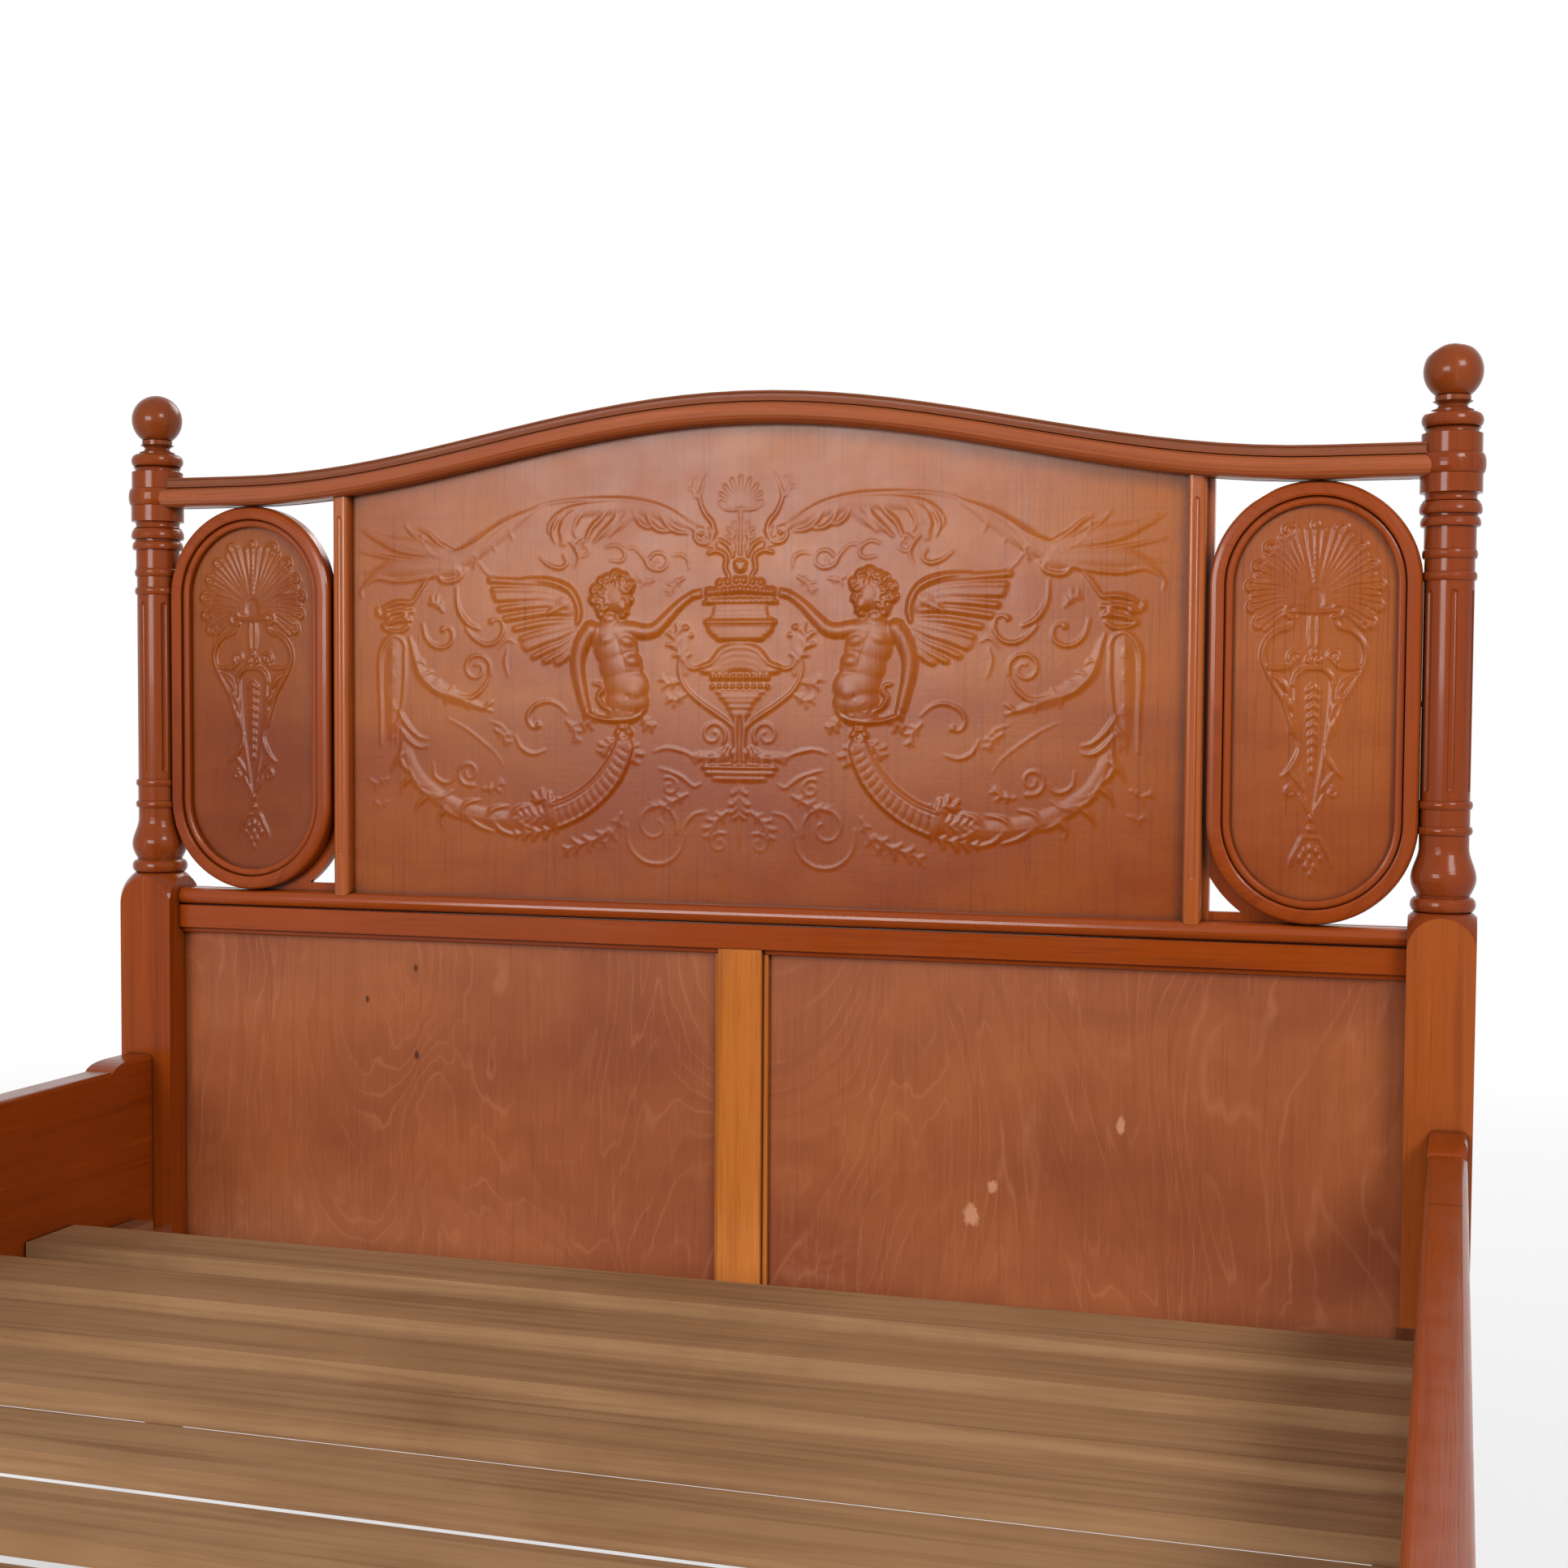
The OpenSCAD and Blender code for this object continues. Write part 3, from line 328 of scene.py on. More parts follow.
def plain_wood(name, axis, base, dark, rough):
    """Unpolished wood for what is hidden in use."""
    g = material(name)
    streaks = g.noise(grain_scale(axis, 2, 70), 6, 0.6, 0.5)
    colour = g.ramp(streaks, [(0.3, dark), (0.55, base)])
    lines = g.noise(grain_scale(axis, 12, 500), 3, 0.7)
    colour = g.mix(g.ramp(lines, [(0.3, 0.4), (0.45, 0)]), colour, dark)
    stain = g.noise((4, 4, 4), 4, 0.6, 0.4)
    colour = g.mix(g.ramp(stain, [(0.45, 0), (0.70, 0.5)]), colour, g.times(colour, (0.6, 0.52, 0.42)))
    g.gloss(0.15)
    return g.finish(colour, rough, g.bump(lines, 0.0003, 0.5))


def pressed_veneer(name, tone_and_painted_light):
    """The carved looking panels: even red-brown with a silky sheen."""
    g = material(name)
    clouds = g.noise((4, 4, 9), 4, 0.55, 0.3)
    # painted sheen: lighter towards the top
    up = g.ramp(g.math("SUBTRACT", g.axes()[2], RAIL_TOP), [(0.08, 0), (0.32, 0.24)])
    colour = g.ramp(g.math("ADD", clouds, up), [(0.42, VENEER_DARK), (0.82, VENEER)])
    colour = g.times(colour, tone_and_painted_light)
    lines = g.noise((6, 60, 420), 4, 0.7)
    colour = g.mix(g.ramp(lines, [(0.30, 0.20), (0.45, 0)]), colour, BEECH_DARK)
    threads = g.noise((520, 60, 9), 3, 0.7)
    colour = g.mix(g.ramp(threads, [(0.34, 0.40), (0.47, 0)]), colour, BEECH_DARK)
    # painted shade: darker in corners and near the raised forms
    corner = g.ramp(g.crevice(0.005), [(0.20, 0), (0.70, 0.30)])
    colour = g.mix(corner, colour, (0.095, 0.017, 0.004))
    edge = g.ramp(g.crevice(0.03), [(0.28, 0), (0.60, 0.8)])
    colour = g.mix(edge, colour, CREVICE)
    wear = g.noise((18, 18, 18), 4, 0.6)
    g.gloss(0.22)
    punched = g.bump(g.noise((330, 60, 330), 2, 0.5), 0.0002, 0.3)
    weave = g.bump(g.math("ADD", lines, threads), 0.0001, 0.3, punched)
    return g.finish(colour, g.ramp(wear, [(0.3, 0.24), (0.7, 0.32)]), weave)


# Small dark knots in the plain panels: x, height, radius
KNOTS = [(-0.390, 0.617, 0.0035), (-0.451, 0.579, 0.0032), (-0.389, 0.518, 0.0040)]


# Rubbed places of the plain panels: x, height, half width, half height
RUBBED = [(0.408, 0.487, 0.006, 0.011), (0.275, 0.414, 0.007, 0.008), (0.253, 0.383, 0.011, 0.014)]


def contours(g, field, count, width):
    """Thin lines where a field passes equal steps."""
    saw = g.math("FRACT", g.math("MULTIPLY", field, count))
    return g.ramp(saw, [(1 - 2 * width, 0), (1 - width, 1), (1, 0)])


def plywood():
    """Rotary cut beech face veneer with a faint figure, knots and rubbed places."""
    g = material("plywood")
    clouds = g.noise((3, 3, 5), 4, 0.55, 0.3)
    colour = g.ramp(clouds, [(0.36, PLY), (0.64, (0.235, 0.056, 0.0180))])
    fibres = g.noise((260, 60, 9), 4, 0.7)
    colour = g.mix(g.ramp(fibres, [(0.30, 0.35), (0.48, 0)]), colour, PLY_DARK)
    pale_fibres = g.noise((330, 70, 16), 3, 0.7)
    colour = g.mix(g.ramp(pale_fibres, [(0.55, 0), (0.72, 0.25)]), colour, PLY_PALE)
    figure = g.noise((4.2, 3, 1.9), 5, 0.40, 0.7)
    here = g.noise((11, 8, 9), 3, 0.6)
    strength = g.ramp(here, [(0.40, 0.03), (0.62, 0.42)])
    colour = g.mix(g.math("MULTIPLY", contours(g, figure, 30, 0.11), strength), colour, PLY_PALE)
    colour = g.mix(g.math("MULTIPLY", contours(g, figure, 15, 0.22), 0.16), colour, PLY_DARK)
    rubbed = g.noise((9, 9, 5), 4, 0.65, 0.6)
    colour = g.mix(g.ramp(rubbed, [(0.64, 0), (0.80, 0.25)]), colour, PLY_WORN)
    for x0, z0, size in KNOTS:
        near = g.ramp(g.spot(x0, z0, size, 1.7 * size), [(0.45, 0.9), (0.75, 0.35), (1, 0)])
        colour = g.mix(near, colour, (0.05, 0.012, 0.005))
    torn = g.math("MULTIPLY_ADD", g.noise((160, 160, 90), 4, 0.7), 1.6, -0.8)
    for x0, z0, half_x, half_z in RUBBED:
        edge = g.math("ADD", g.spot(x0, z0, half_x, half_z), torn)
        colour = g.mix(g.ramp(edge, [(0.55, 0.8), (0.9, 0)]), colour, PLY_WORN)
    # painted shade: near black where another surface is within 2 cm
    corner = g.ramp(g.crevice(0.02), [(0.3, 0), (0.7, 0.75)])
    colour = g.mix(corner, colour, CREVICE)
    g.gloss(0.20)
    return g.finish(colour, g.ramp(clouds, [(0.3, 0.30), (0.7, 0.42)]), g.bump(fibres, 0.0002, 0.4))


def iron():
    """Browned steel of the bed irons and screws."""
    g = material("browned_steel")
    rust = g.noise((90, 90, 90), 5, 0.6)
    colour = g.ramp(rust, [(0.35, (0.16, 0.15, 0.14)), (0.7, (0.20, 0.09, 0.05))])
    g.shader.inputs["Metallic"].default_value = 0.8
    return g.finish(colour, 0.5, g.bump(rust, 0.0003, 0.5))


def dress_nodes(nodes):
    """Gives each CAD node its material; the first pattern that fits its name counts."""
    steel = iron()
    looks = [
        ("*_plates", steel),
        ("*_screws", steel),
        ("slat_*", plain_wood("bare_spruce", "x", (0.36, 0.20, 0.095), (0.24, 0.12, 0.055), 0.7)),
        ("ledger_*", plain_wood("bare_beech", "y", (0.26, 0.10, 0.045), (0.14, 0.05, 0.025), 0.65)),
        ("side_rail_*", polished_wood("beech_lengthwise", "y", seam=RAIL_SEAM)),
        ("oval_frame_*", polished_wood("beech_oval", "z", along_oval)),
        # the crest's tint is painted sheen, paler and greyer than the wood
        ("*crest*", polished_wood("beech_crest", "x", along_crest, tone_and_painted_light=(1.22, 1.75, 6),
                                  beads=CREST_BEADS, gloss=0.26, rough=0.28)),
        ("*muntin", polished_wood("beech_honey", "z", tone_and_painted_light=(1.95, 3.6, 7.5))),
        ("*panel*", plywood()),
        # the right post's tint is painted light from the right over a honey tone; the left post is its
        # shaded copy
        ("head_post_right", polished_wood(
            "beech_right_post", "z", tone_and_painted_light=(1.22, 1.7, 4), turned=(0.68, 0.50, 0.4), gloss=0.12, rough=0.13)),
        ("head_post_left", polished_wood(
            "beech_left_post", "z", tone_and_painted_light=(1, 1.05, 1.2), turned=(0.88, 0.90, 1.2), gloss=0.12, rough=0.13)),
        # the balls' tint darkens them: painted shade
        ("*finial*", polished_wood("beech_ball", "z", tone_and_painted_light=(0.82, 0.95, 1.6), gloss=0.15, rough=0.14)),
        # the stiles' tint is painted sheen
        ("*stile*", polished_wood("beech_stile", "z", corner_shade=0.5, tone_and_painted_light=(1.40, 2, 5), gloss=0.2, rough=0.15)),
        # the cross rails' tint is painted light
        ("*_rail", polished_wood("beech_across", "x", tone_and_painted_light=(1.06, 1.08, 1.3), gloss=0.18, rough=0.12)),
        ("*", polished_wood("beech_upright", "z")),
    ]
    for name, node in nodes.items():
        node.data.materials.clear()
        node.data.materials.append(next(mat for pattern, mat in looks if fnmatchcase(name, pattern)))


# Pressed relief


def polar(degrees):
    """A unit step in the given direction."""
    angle = math.radians(degrees)
    return math.cos(angle), math.sin(angle)


def spline(points, spacing=0.8):
    """A smooth curve through points (any number of columns), evenly sampled."""
    p = np.array(points, float)
    if len(p) == 2:
        dense = p[0] + np.linspace(0, 1, 40)[:, None] * (p[1] - p[0])
    else:
        q = np.vstack([2 * p[0] - p[1], p, 2 * p[-1] - p[-2]])
        t = np.linspace(0, 1, 24, endpoint=False)[:, None]
        parts = []
        for a, b, c, d in zip(q, q[1:], q[2:], q[3:]):
            bend = 2 * a - 5 * b + 4 * c - d + t * (3 * (b - c) + d - a)
            parts.append(b + 0.5 * t * (c - a + t * bend))
        dense = np.vstack(parts + [p[-1:]])
    steps = np.hypot(*np.diff(dense[:, :2], axis=0).T)
    along = np.concatenate([[0], np.cumsum(steps)])
    n = max(3, int(along[-1] / spacing) + 1)
    at = np.linspace(0, along[-1], n)
    return np.stack([np.interp(at, along, column) for column in dense.T], 1)


class Relief:
    """A pressed pattern as a height field in millimetres: u across, v up."""

    def __init__(self, width, height, cell, fat):
        self.cell = cell
        self.fat = fat
        self.u = np.arange(0, width + cell, cell)
        self.v = np.arange(0, height + cell, cell)
        self.h = np.zeros((len(self.v), len(self.u)))

    def window(self, low, high):
        i0 = max(0, int(low[0] / self.cell))
        i1 = min(len(self.u), int(high[0] / self.cell) + 2)
        j0 = max(0, int(low[1] / self.cell))
        j1 = min(len(self.v), int(high[1] / self.cell) + 2)
        return slice(j0, max(j0, j1)), slice(i0, max(i0, i1))

    def stamp(self, points, radii, heights, power):
        """The highest of round bumps set along a curve."""
        reach = radii.max() + self.cell
        box = self.window(points.min(0) - reach, points.max(0) + reach)
        form = np.zeros(self.h[box].shape)
        if not form.size:
            return box, form
        j0, i0 = box[0].start, box[1].start
        for (u, v), r, h in zip(points, radii, heights):
            a, b = self.window((u - r, v - r), (u + r, v + r))
            near = (self.u[b][None] - u) ** 2 + (self.v[a][:, None] - v) ** 2
            bump = h * np.clip(1 - near / (r * r), 0, None) ** power
            part = form[a.start - j0:a.stop - j0, b.start - i0:b.stop - i0]
            np.maximum(part, bump, out=part)
        return box, form

    def soften(self, times):
        """Rounds every edge a little, as pressing does."""
        for _ in range(times):
            for axis in (0, 1):
                before, after = np.roll(self.h, 1, axis), np.roll(self.h, -1, axis)
                first = (slice(1), slice(None))[::1 - 2 * axis]
                before[first] = np.take(self.h, [1], axis)
                self.h = (before + 2 * self.h + after) / 4

    def merge(self, box, form, soft=0.6):
        """Joins a form to the ground with a soft seam."""
        old = self.h[box]
        high, low = np.maximum(old, form), np.minimum(old, form)
        blend = np.clip(1 - (high - low) / soft, 0, 1)
        self.h[box] = np.where(low > 0, high + soft * blend * blend / 4, high)

    def line(self, points, radii=(1.2, 2.0, 1.2), height=1.6, power=0.95, sink=0.0):
        """A raised line whose radius runs through the given radii."""
        p = spline(points)
        t = np.linspace(0, 1, len(p))
        fat = 1.0 if sink else self.fat
        r = fat * np.interp(t, np.linspace(0, 1, len(radii)), radii)
        h = height * (r / r.max()) ** 0.6
        box, form = self.stamp(p, r, h, power)
        if sink:
            self.h[box] -= np.minimum(form, sink)
        else:
            self.merge(box, form)

    def bar(self, v, half, radii, height, power=0.95):
        """A level stroke from the middle line outwards."""
        self.line([(0, v), (half, v)], radii, height, power)

    def groove(self, points, radii=(0.5, 0.9, 0.4), depth=0.6):
        self.line(points, radii, depth, power=1.0, sink=depth)

    def blob(self, u, v, ru, rv=None, height=2.0, turn=0.0, power=0.8):
        """A domed oval, turned by degrees."""
        rv = rv or ru
        reach = max(ru, rv)
        box = self.window((u - reach, v - reach), (u + reach, v + reach))
        du = self.u[box[1]][None] - u
        dv = self.v[box[0]][:, None] - v
        c, s = polar(turn)
        q = ((du * c + dv * s) / ru) ** 2 + ((dv * c - du * s) / rv) ** 2
        self.merge(box, height * np.clip(1 - q, 0, None) ** power)

    def scroll(self, u, v, radius, start, turns=1.3, way=1, radii=(1.6, 1.2, 0.9), height=1.6):
        """A volute that winds in to a small eye."""
        n = 14
        a = math.radians(start) + way * np.linspace(0, 2 * math.pi * turns, n)
        r = radius * np.linspace(1, 0.25, n)
        self.line(np.stack([u + r * np.cos(a), v + r * np.sin(a)], 1), radii, height)
        eye = r[-1] * math.cos(a[-1]), r[-1] * math.sin(a[-1])
        self.blob(u + eye[0], v + eye[1], radii[-1] * 1.5, height=height)

    def leaf(self, points, width, height, lobes=3, fat=1.0):
        """An acanthus leaf: lobes spring forward from both sides of a stem."""
        p = spline(points)
        n = len(p)
        for k in range(lobes):
            t = (k + 0.4) / (lobes + 0.3)
            i = int(t * (n - 1))
            ahead = p[min(n - 1, i + 3)] - p[max(0, i - 3)]
            ahead = ahead / (np.hypot(*ahead) + 1e-9)
            across = np.array([-ahead[1], ahead[0]])
            span = width * math.sin(math.pi * (0.22 + 0.70 * t))
            for side in (1, -1):
                base = p[i]
                tip = base + ahead * span * 0.95 + across * side * span * 0.72
                mid = base + ahead * span * 0.66 + across * side * span * 0.34
                back = tip - ahead * span * 0.14 + across * side * span * 0.10
                r = fat * span * 0.20
                self.line([base, mid, tip, back], (r * 0.6, r * 1.1, r * 0.6), height * 0.85)
        self.line(points, (1.56, 1.2, 0.72), height)

    def feather(self, points, r, height=1.8):
        self.line(points, (r * 0.7, r, r * 0.75), height)
        self.groove(points, (0.3, 0.5, 0.2), 0.25)


def pressed_centre():
    """Winged figures whose tails turn to foliage, on both sides of a fruit urn."""
    g = Relief(width=500, height=520, cell=1.0, fat=1.2)
    parts = (masses, low_scrolls, ring, upper_acanthus, outer_leaf, tie_and_drop, urn, crown, wing, tail,
             figure)
    for part in parts:
        part(g)
    g.soften(2)
    # Pressing keeps about half of the height, and more of the tall forms
    g.h *= 0.42 + 0.15 * np.clip(g.h / 5, 0, 1)
    stipple(g)
    return g


def masses(g):
    """Low swellings under the leaves, wing and foliage ring."""
    g.line([(36, 398), (58, 408), (90, 422), (130, 430), (172, 429), (208, 418)], (3, 6, 8, 9, 8, 4), 1.5)
    g.line([(118, 424), (140, 412), (160, 400)], (4, 8, 4), 1.3)
    g.line([(186, 424), (200, 408), (204, 392)], (5, 8, 5), 1.3)
    g.line([(238, 428), (270, 412), (304, 390), (334, 374), (368, 374)], (2, 9, 11, 10, 9), 1.7)
    g.line([(340, 376), (378, 387), (416, 396), (444, 409)], (9, 11, 8, 2), 1.9)
    g.line([(336, 366), (380, 366), (420, 364), (446, 350)], (10, 11, 10, 2), 1.9)
    g.line([(196, 322), (232, 333), (284, 336)], (12, 12, 6), 2)
    g.line([(194, 300), (220, 292), (250, 280)], (11, 11, 5), 1.7)
    g.line([(388, 282), (376, 248), (344, 226), (300, 210)], (3, 7, 7, 3), 1.4)
    g.line([(402, 200), (394, 156), (372, 122), (330, 97), (280, 86), (240, 86)], (3, 7, 8, 9, 9, 8), 1.5)
    g.line([(411, 284), (412, 244), (413, 178)], (8, 9, 5), 1.2)
    g.line([(62, 290), (64, 270), (62, 250)], (6, 7, 4), 1.2)
    g.line([(16, 160), (34, 158), (52, 160)], (6, 6, 3), 1.3)


def stipple(g):
    """Punched ground between the forms."""
    u, v = np.meshgrid(g.u, g.v)
    inside = np.clip(1.25 - ((u / 395) ** 4 + ((v - 235) / 205) ** 4), 0, 1)
    flat = np.clip(1 - g.h / 0.5, 0, 1)
    rows = np.sin(u * 1.9 + 0.9 * np.sin(v * 0.31)) * np.sin(v * 2.05 + 0.8 * np.sin(u * 0.27))
    g.h += 0.015 * rows * inside * flat


def low_scrolls(g):
    g.line([(62, 75), (66, 60), (74, 49), (88, 42), (106, 43), (120, 52), (128, 66), (129, 84)],
             (1, 1.7, 1.2), 1.1)
    g.scroll(96, 84, 26, 200, 1.2, -1, (1.4, 1.2, 0.9), 1.1)
    g.leaf([(150, 78), (168, 66), (196, 57), (206, 46)], 11, 1.3, 4, fat=1.1)
    g.leaf([(136, 96), (146, 74), (162, 56)], 9, 1)
    g.line([(98, 164), (84, 168), (70, 166), (56, 161), (50, 152)], (1, 1.8, 1), 1.4)
    g.line([(92, 146), (78, 142), (66, 137), (52, 127), (44, 130)], (1, 1.8, 1), 1.4)
    g.scroll(80, 126, 11, 60, 1.1, 1, (1.3, 1.1, 0.9), 1.2)
    g.leaf([(60, 118), (76, 110), (92, 104), (104, 108)], 9, 1.1, 4)
    g.leaf([(0, 132), (0, 112), (0, 92)], 13, 1.5, 4, fat=1.2)
    g.leaf([(14, 100), (30, 86), (36, 68)], 10, 1.1, 4)
    g.line([(0, 92), (0, 60)], (1.2, 1.6, 0.8), 1.3)
    g.scroll(22, 66, 12, 120, 1.1, -1, (1.3, 1, 0.8), 1)
    g.line([(38, 100), (52, 96), (62, 84), (64, 74)], (1, 1.5, 1), 1.1)


def urn(g):
    for u in (-9, 0, 9, 18, 27, 35):
        g.blob(u, 339 - 0.09 * abs(u), 6.2, 6, 4.2)
    for u in (4, 14, 23):
        g.blob(u, 349 - 0.15 * u, 5.2, 5.2, 3.6)
    for u in np.arange(0, 42, 6):
        g.blob(u, 328, 3.6, 3.2, 3.6)
    g.bar(325, 41, (1.6, 1.6), 3.2)
    for v, half in ((318, 26), (312, 27), (306, 31)):
        g.bar(v, half, (4.6, 4.2), 2.2, 0.5)
    g.bar(304, 38, (2.6, 2.2), 4.6, 0.5)
    g.bar(300, 36, (2.2, 2), 3.4, 0.5)
    for v, half in ((296, 33), (292, 29), (288, 24)):
        g.bar(v, half, (4.4, 3.6), 3.2, 0.5)
    dome = [(0, 277), (10, 276), (20, 272), (27, 265), (34, 259), (44, 256)]
    for drop, fade in ((0, 1), (7, 0.96), (14, 0.9), (20, 0.8)):
        lower = [(u * (1 if u < 30 else 0.96), max(v - drop, 252)) for u, v in dome]
        g.line(lower, (5.2, 4.4, 2.6), 2.6 * fade, 0.45)
    g.line(dome, (1.5, 1.5, 1.8), 3.4)
    g.line([(44, 256), (52, 254), (60, 258), (62, 266), (56, 270)], (1.8, 1.6, 1.3), 2.2)
    for u in np.arange(0, 35, 7.6):
        g.blob(u, 245, 3.6, 4.4, 3.6)
        g.blob(u + 0.5, 235, 3, 3.2, 3)
    g.bar(229, 26, (2, 1.6), 2.4)
    for v, half in ((224, 20), (219, 15), (213, 11), (206, 8)):
        g.bar(v, half, (3.6, 3), 2.3, 0.5)
    g.line([(61, 276), (69, 262), (68, 246), (59, 230), (42, 216), (22, 203), (8, 192), (4, 178)],
             (1.3, 1.9, 2.4, 2.2), 2.2)
    g.line([(4, 205), (5, 190), (4, 170), (5, 154)], (4, 3, 3.4), 2.4)
    g.scroll(30, 183, 15, 215, 1.25, -1, (1.6, 1.4, 1), 1.9)
    g.leaf([(14, 170), (22, 160), (34, 156), (50, 160)], 9, 2.2, 4, fat=1.3)
    g.blob(32, 158, 7, 3.6, 2.8, -8)
    g.blob(8, 164, 4.4, 5.6, 2.6)
    g.bar(148, 41, (2.2, 1.8), 3, 0.5)
    g.bar(142, 37, (2.6, 2.2), 2.2, 0.5)
    g.bar(136, 28, (3, 2.4), 1.7, 0.5)
    g.leaf([(64, 262), (72, 276), (74, 290), (66, 302)], 11, 2, 4, fat=1.2)
    g.blob(62, 298, 4.6, 4, 2.4)
    g.blob(56, 290, 3.6, 3.2, 2)
    g.leaf([(70, 240), (82, 238), (92, 246)], 8, 1.5)
    g.leaf([(62, 226), (74, 220), (84, 222)], 8, 1.4)


def crown(g):
    """Mask, leaves and palmette above the fruit."""
    g.blob(0, 364, 8, 9, 3)
    g.blob(0, 360, 3.4, 3, 3.8)
    g.blob(5, 367, 3, 2.4, 3.4)
    g.line([(12, 352), (17, 362), (16, 374), (26, 380), (36, 378)], (1.6, 2.4, 1.8), 2.8)
    g.line([(8, 374), (14, 386), (24, 392)], (1.8, 2.6, 1.4), 2.6)
    g.leaf([(26, 380), (34, 392), (30, 404)], 9, 2.2, fat=1.3)
    g.leaf([(6, 380), (10, 396), (6, 412)], 8, 1.8, 4)
    g.line([(0, 376), (0, 404), (0, 428)], (2, 1.8, 1.2), 1.8)
    for angle, reach in ((90, 34), (72, 33), (54, 31), (37, 28), (20, 24)):
        c, s = polar(angle)
        root = (c * 7, 424 + s * 7)
        c, s = c * reach, s * reach
        g.line([root, (c * 0.6, 424 + s * 0.62), (c, 424 + s)], (0.9, 1.7, 2.3), 1.3)
    g.line([(0, 424), (14, 424), (26, 430)], (1.4, 1.6, 1), 1.4)
    horn = [(38, 462), (44, 448), (46, 434), (40, 420), (32, 410), (30, 398), (36, 389), (46, 389),
            (52, 396), (49, 404), (42, 404)]
    g.line(horn, (0.9, 1.6, 2.4, 2, 1.4), 2.2)
    g.blob(44, 399, 3.2, height=2.6)
    g.leaf([(46, 434), (54, 446), (50, 460)], 7, 1.2)


def upper_acanthus(g):
    top = [(44, 396), (58, 408), (74, 421), (96, 431), (124, 437), (156, 439), (190, 438), (214, 436),
           (236, 432)]
    g.line(top, (1.4, 1.8, 1.8, 1.4, 0.8), 1.6)
    g.line([(66, 410), (92, 425), (124, 433), (160, 434), (190, 431), (210, 424), (221, 412), (222, 402)],
             (1, 1.8, 2, 1.6, 1), 1.9)
    hanging = [
        ([(92, 424), (86, 412), (74, 402), (60, 400)], 3),
        ([(108, 428), (104, 414), (94, 404), (80, 402)], 3),
        ([(124, 430), (118, 416), (110, 408), (98, 406)], 2.6),
        ([(150, 431), (160, 418), (172, 406), (180, 388)], 3.2),
        ([(138, 430), (146, 414), (158, 402), (168, 392)], 2.8),
        ([(126, 430), (134, 416), (142, 406), (150, 398)], 2.6),
        ([(176, 430), (186, 420), (192, 408), (190, 398)], 2.8),
        ([(190, 428), (202, 418), (208, 406), (206, 396)], 2.8),
        ([(204, 426), (213, 416), (218, 404), (214, 392)], 2.4),
    ]
    for points, r in hanging:
        g.line(points, (r * 0.6, r, r * 0.5), 1.9)
    g.scroll(180, 384, 10, 80, 1.15, -1, (1.6, 1.3, 1), 1.5)
    g.line([(232, 376), (222, 368), (208, 364), (200, 370), (204, 378)], (1.2, 2, 1.4), 1.8)
    g.line([(200, 396), (192, 388), (186, 376), (190, 364)], (1.4, 2.2, 1), 1.6)
    g.line([(154, 386), (142, 388), (132, 380), (136, 371), (150, 372)], (1.2, 1.8, 1.2), 1.5)
    g.line([(131, 385), (120, 384), (110, 374), (104, 364), (92, 360), (84, 366)], (1, 1.8, 1.2), 1.5)
    g.scroll(92, 368, 13, 20, 1.1, 1, (1.6, 1.3, 1), 1.5)
    g.line([(78, 376), (68, 377), (60, 372), (58, 362)], (1, 1.7, 1.1), 1.4)
    g.leaf([(64, 352), (76, 344), (84, 334)], 8, 1.5)
    g.leaf([(98, 350), (110, 348), (120, 354)], 7, 1.2)


def outer_leaf(g):
    """The long leaf that leaves the stem and opens into a fan at the panel's side."""
    top = [(232, 432), (262, 421), (288, 408), (312, 392), (336, 383), (362, 381), (386, 390), (408, 398),
           (430, 398), (450, 410)]
    g.line(top, (0.8, 1.8, 2.4, 2.2, 1.6, 0.8), 2)
    g.line([(246, 422), (270, 411), (292, 396), (306, 378), (312, 366)], (0.8, 2, 2.4, 1.2), 2)
    for u, v in ((262, 421), (284, 410), (304, 397)):
        g.line([(u, v), (u + 6, v - 14), (u + 2, v - 26)], (1.2, 2.2, 0.9), 1.5)
    fan = [
        [(330, 382), (352, 392), (366, 404), (378, 410)], [(330, 380), (360, 388), (384, 402), (396, 414)],
        [(330, 378), (366, 380), (404, 386), (440, 402)], [(330, 374), (370, 374), (412, 378), (452, 386)],
        [(330, 370), (372, 366), (414, 366), (448, 362)],
        [(330, 366), (366, 357), (404, 352), (432, 355), (450, 344), (450, 334)],
        [(322, 364), (330, 354), (348, 351), (360, 360), (374, 354)],
    ]
    for points in fan:
        g.line(points, (1.6, 3, 2.4, 0.9), 1.9)
    g.line([(376, 402), (370, 388), (356, 378), (346, 376)], (0.9, 1.7, 1), 2.4)
    g.line([(340, 362), (334, 366), (328, 360), (332, 352)], (1, 1.8, 1.2), 2)
    g.line([(306, 378), (316, 380), (318, 372)], (1, 1.8, 1), 2)
    g.line([(306, 372), (296, 360), (284, 354), (268, 351)], (0.9, 1.5, 0.8), 1.1)


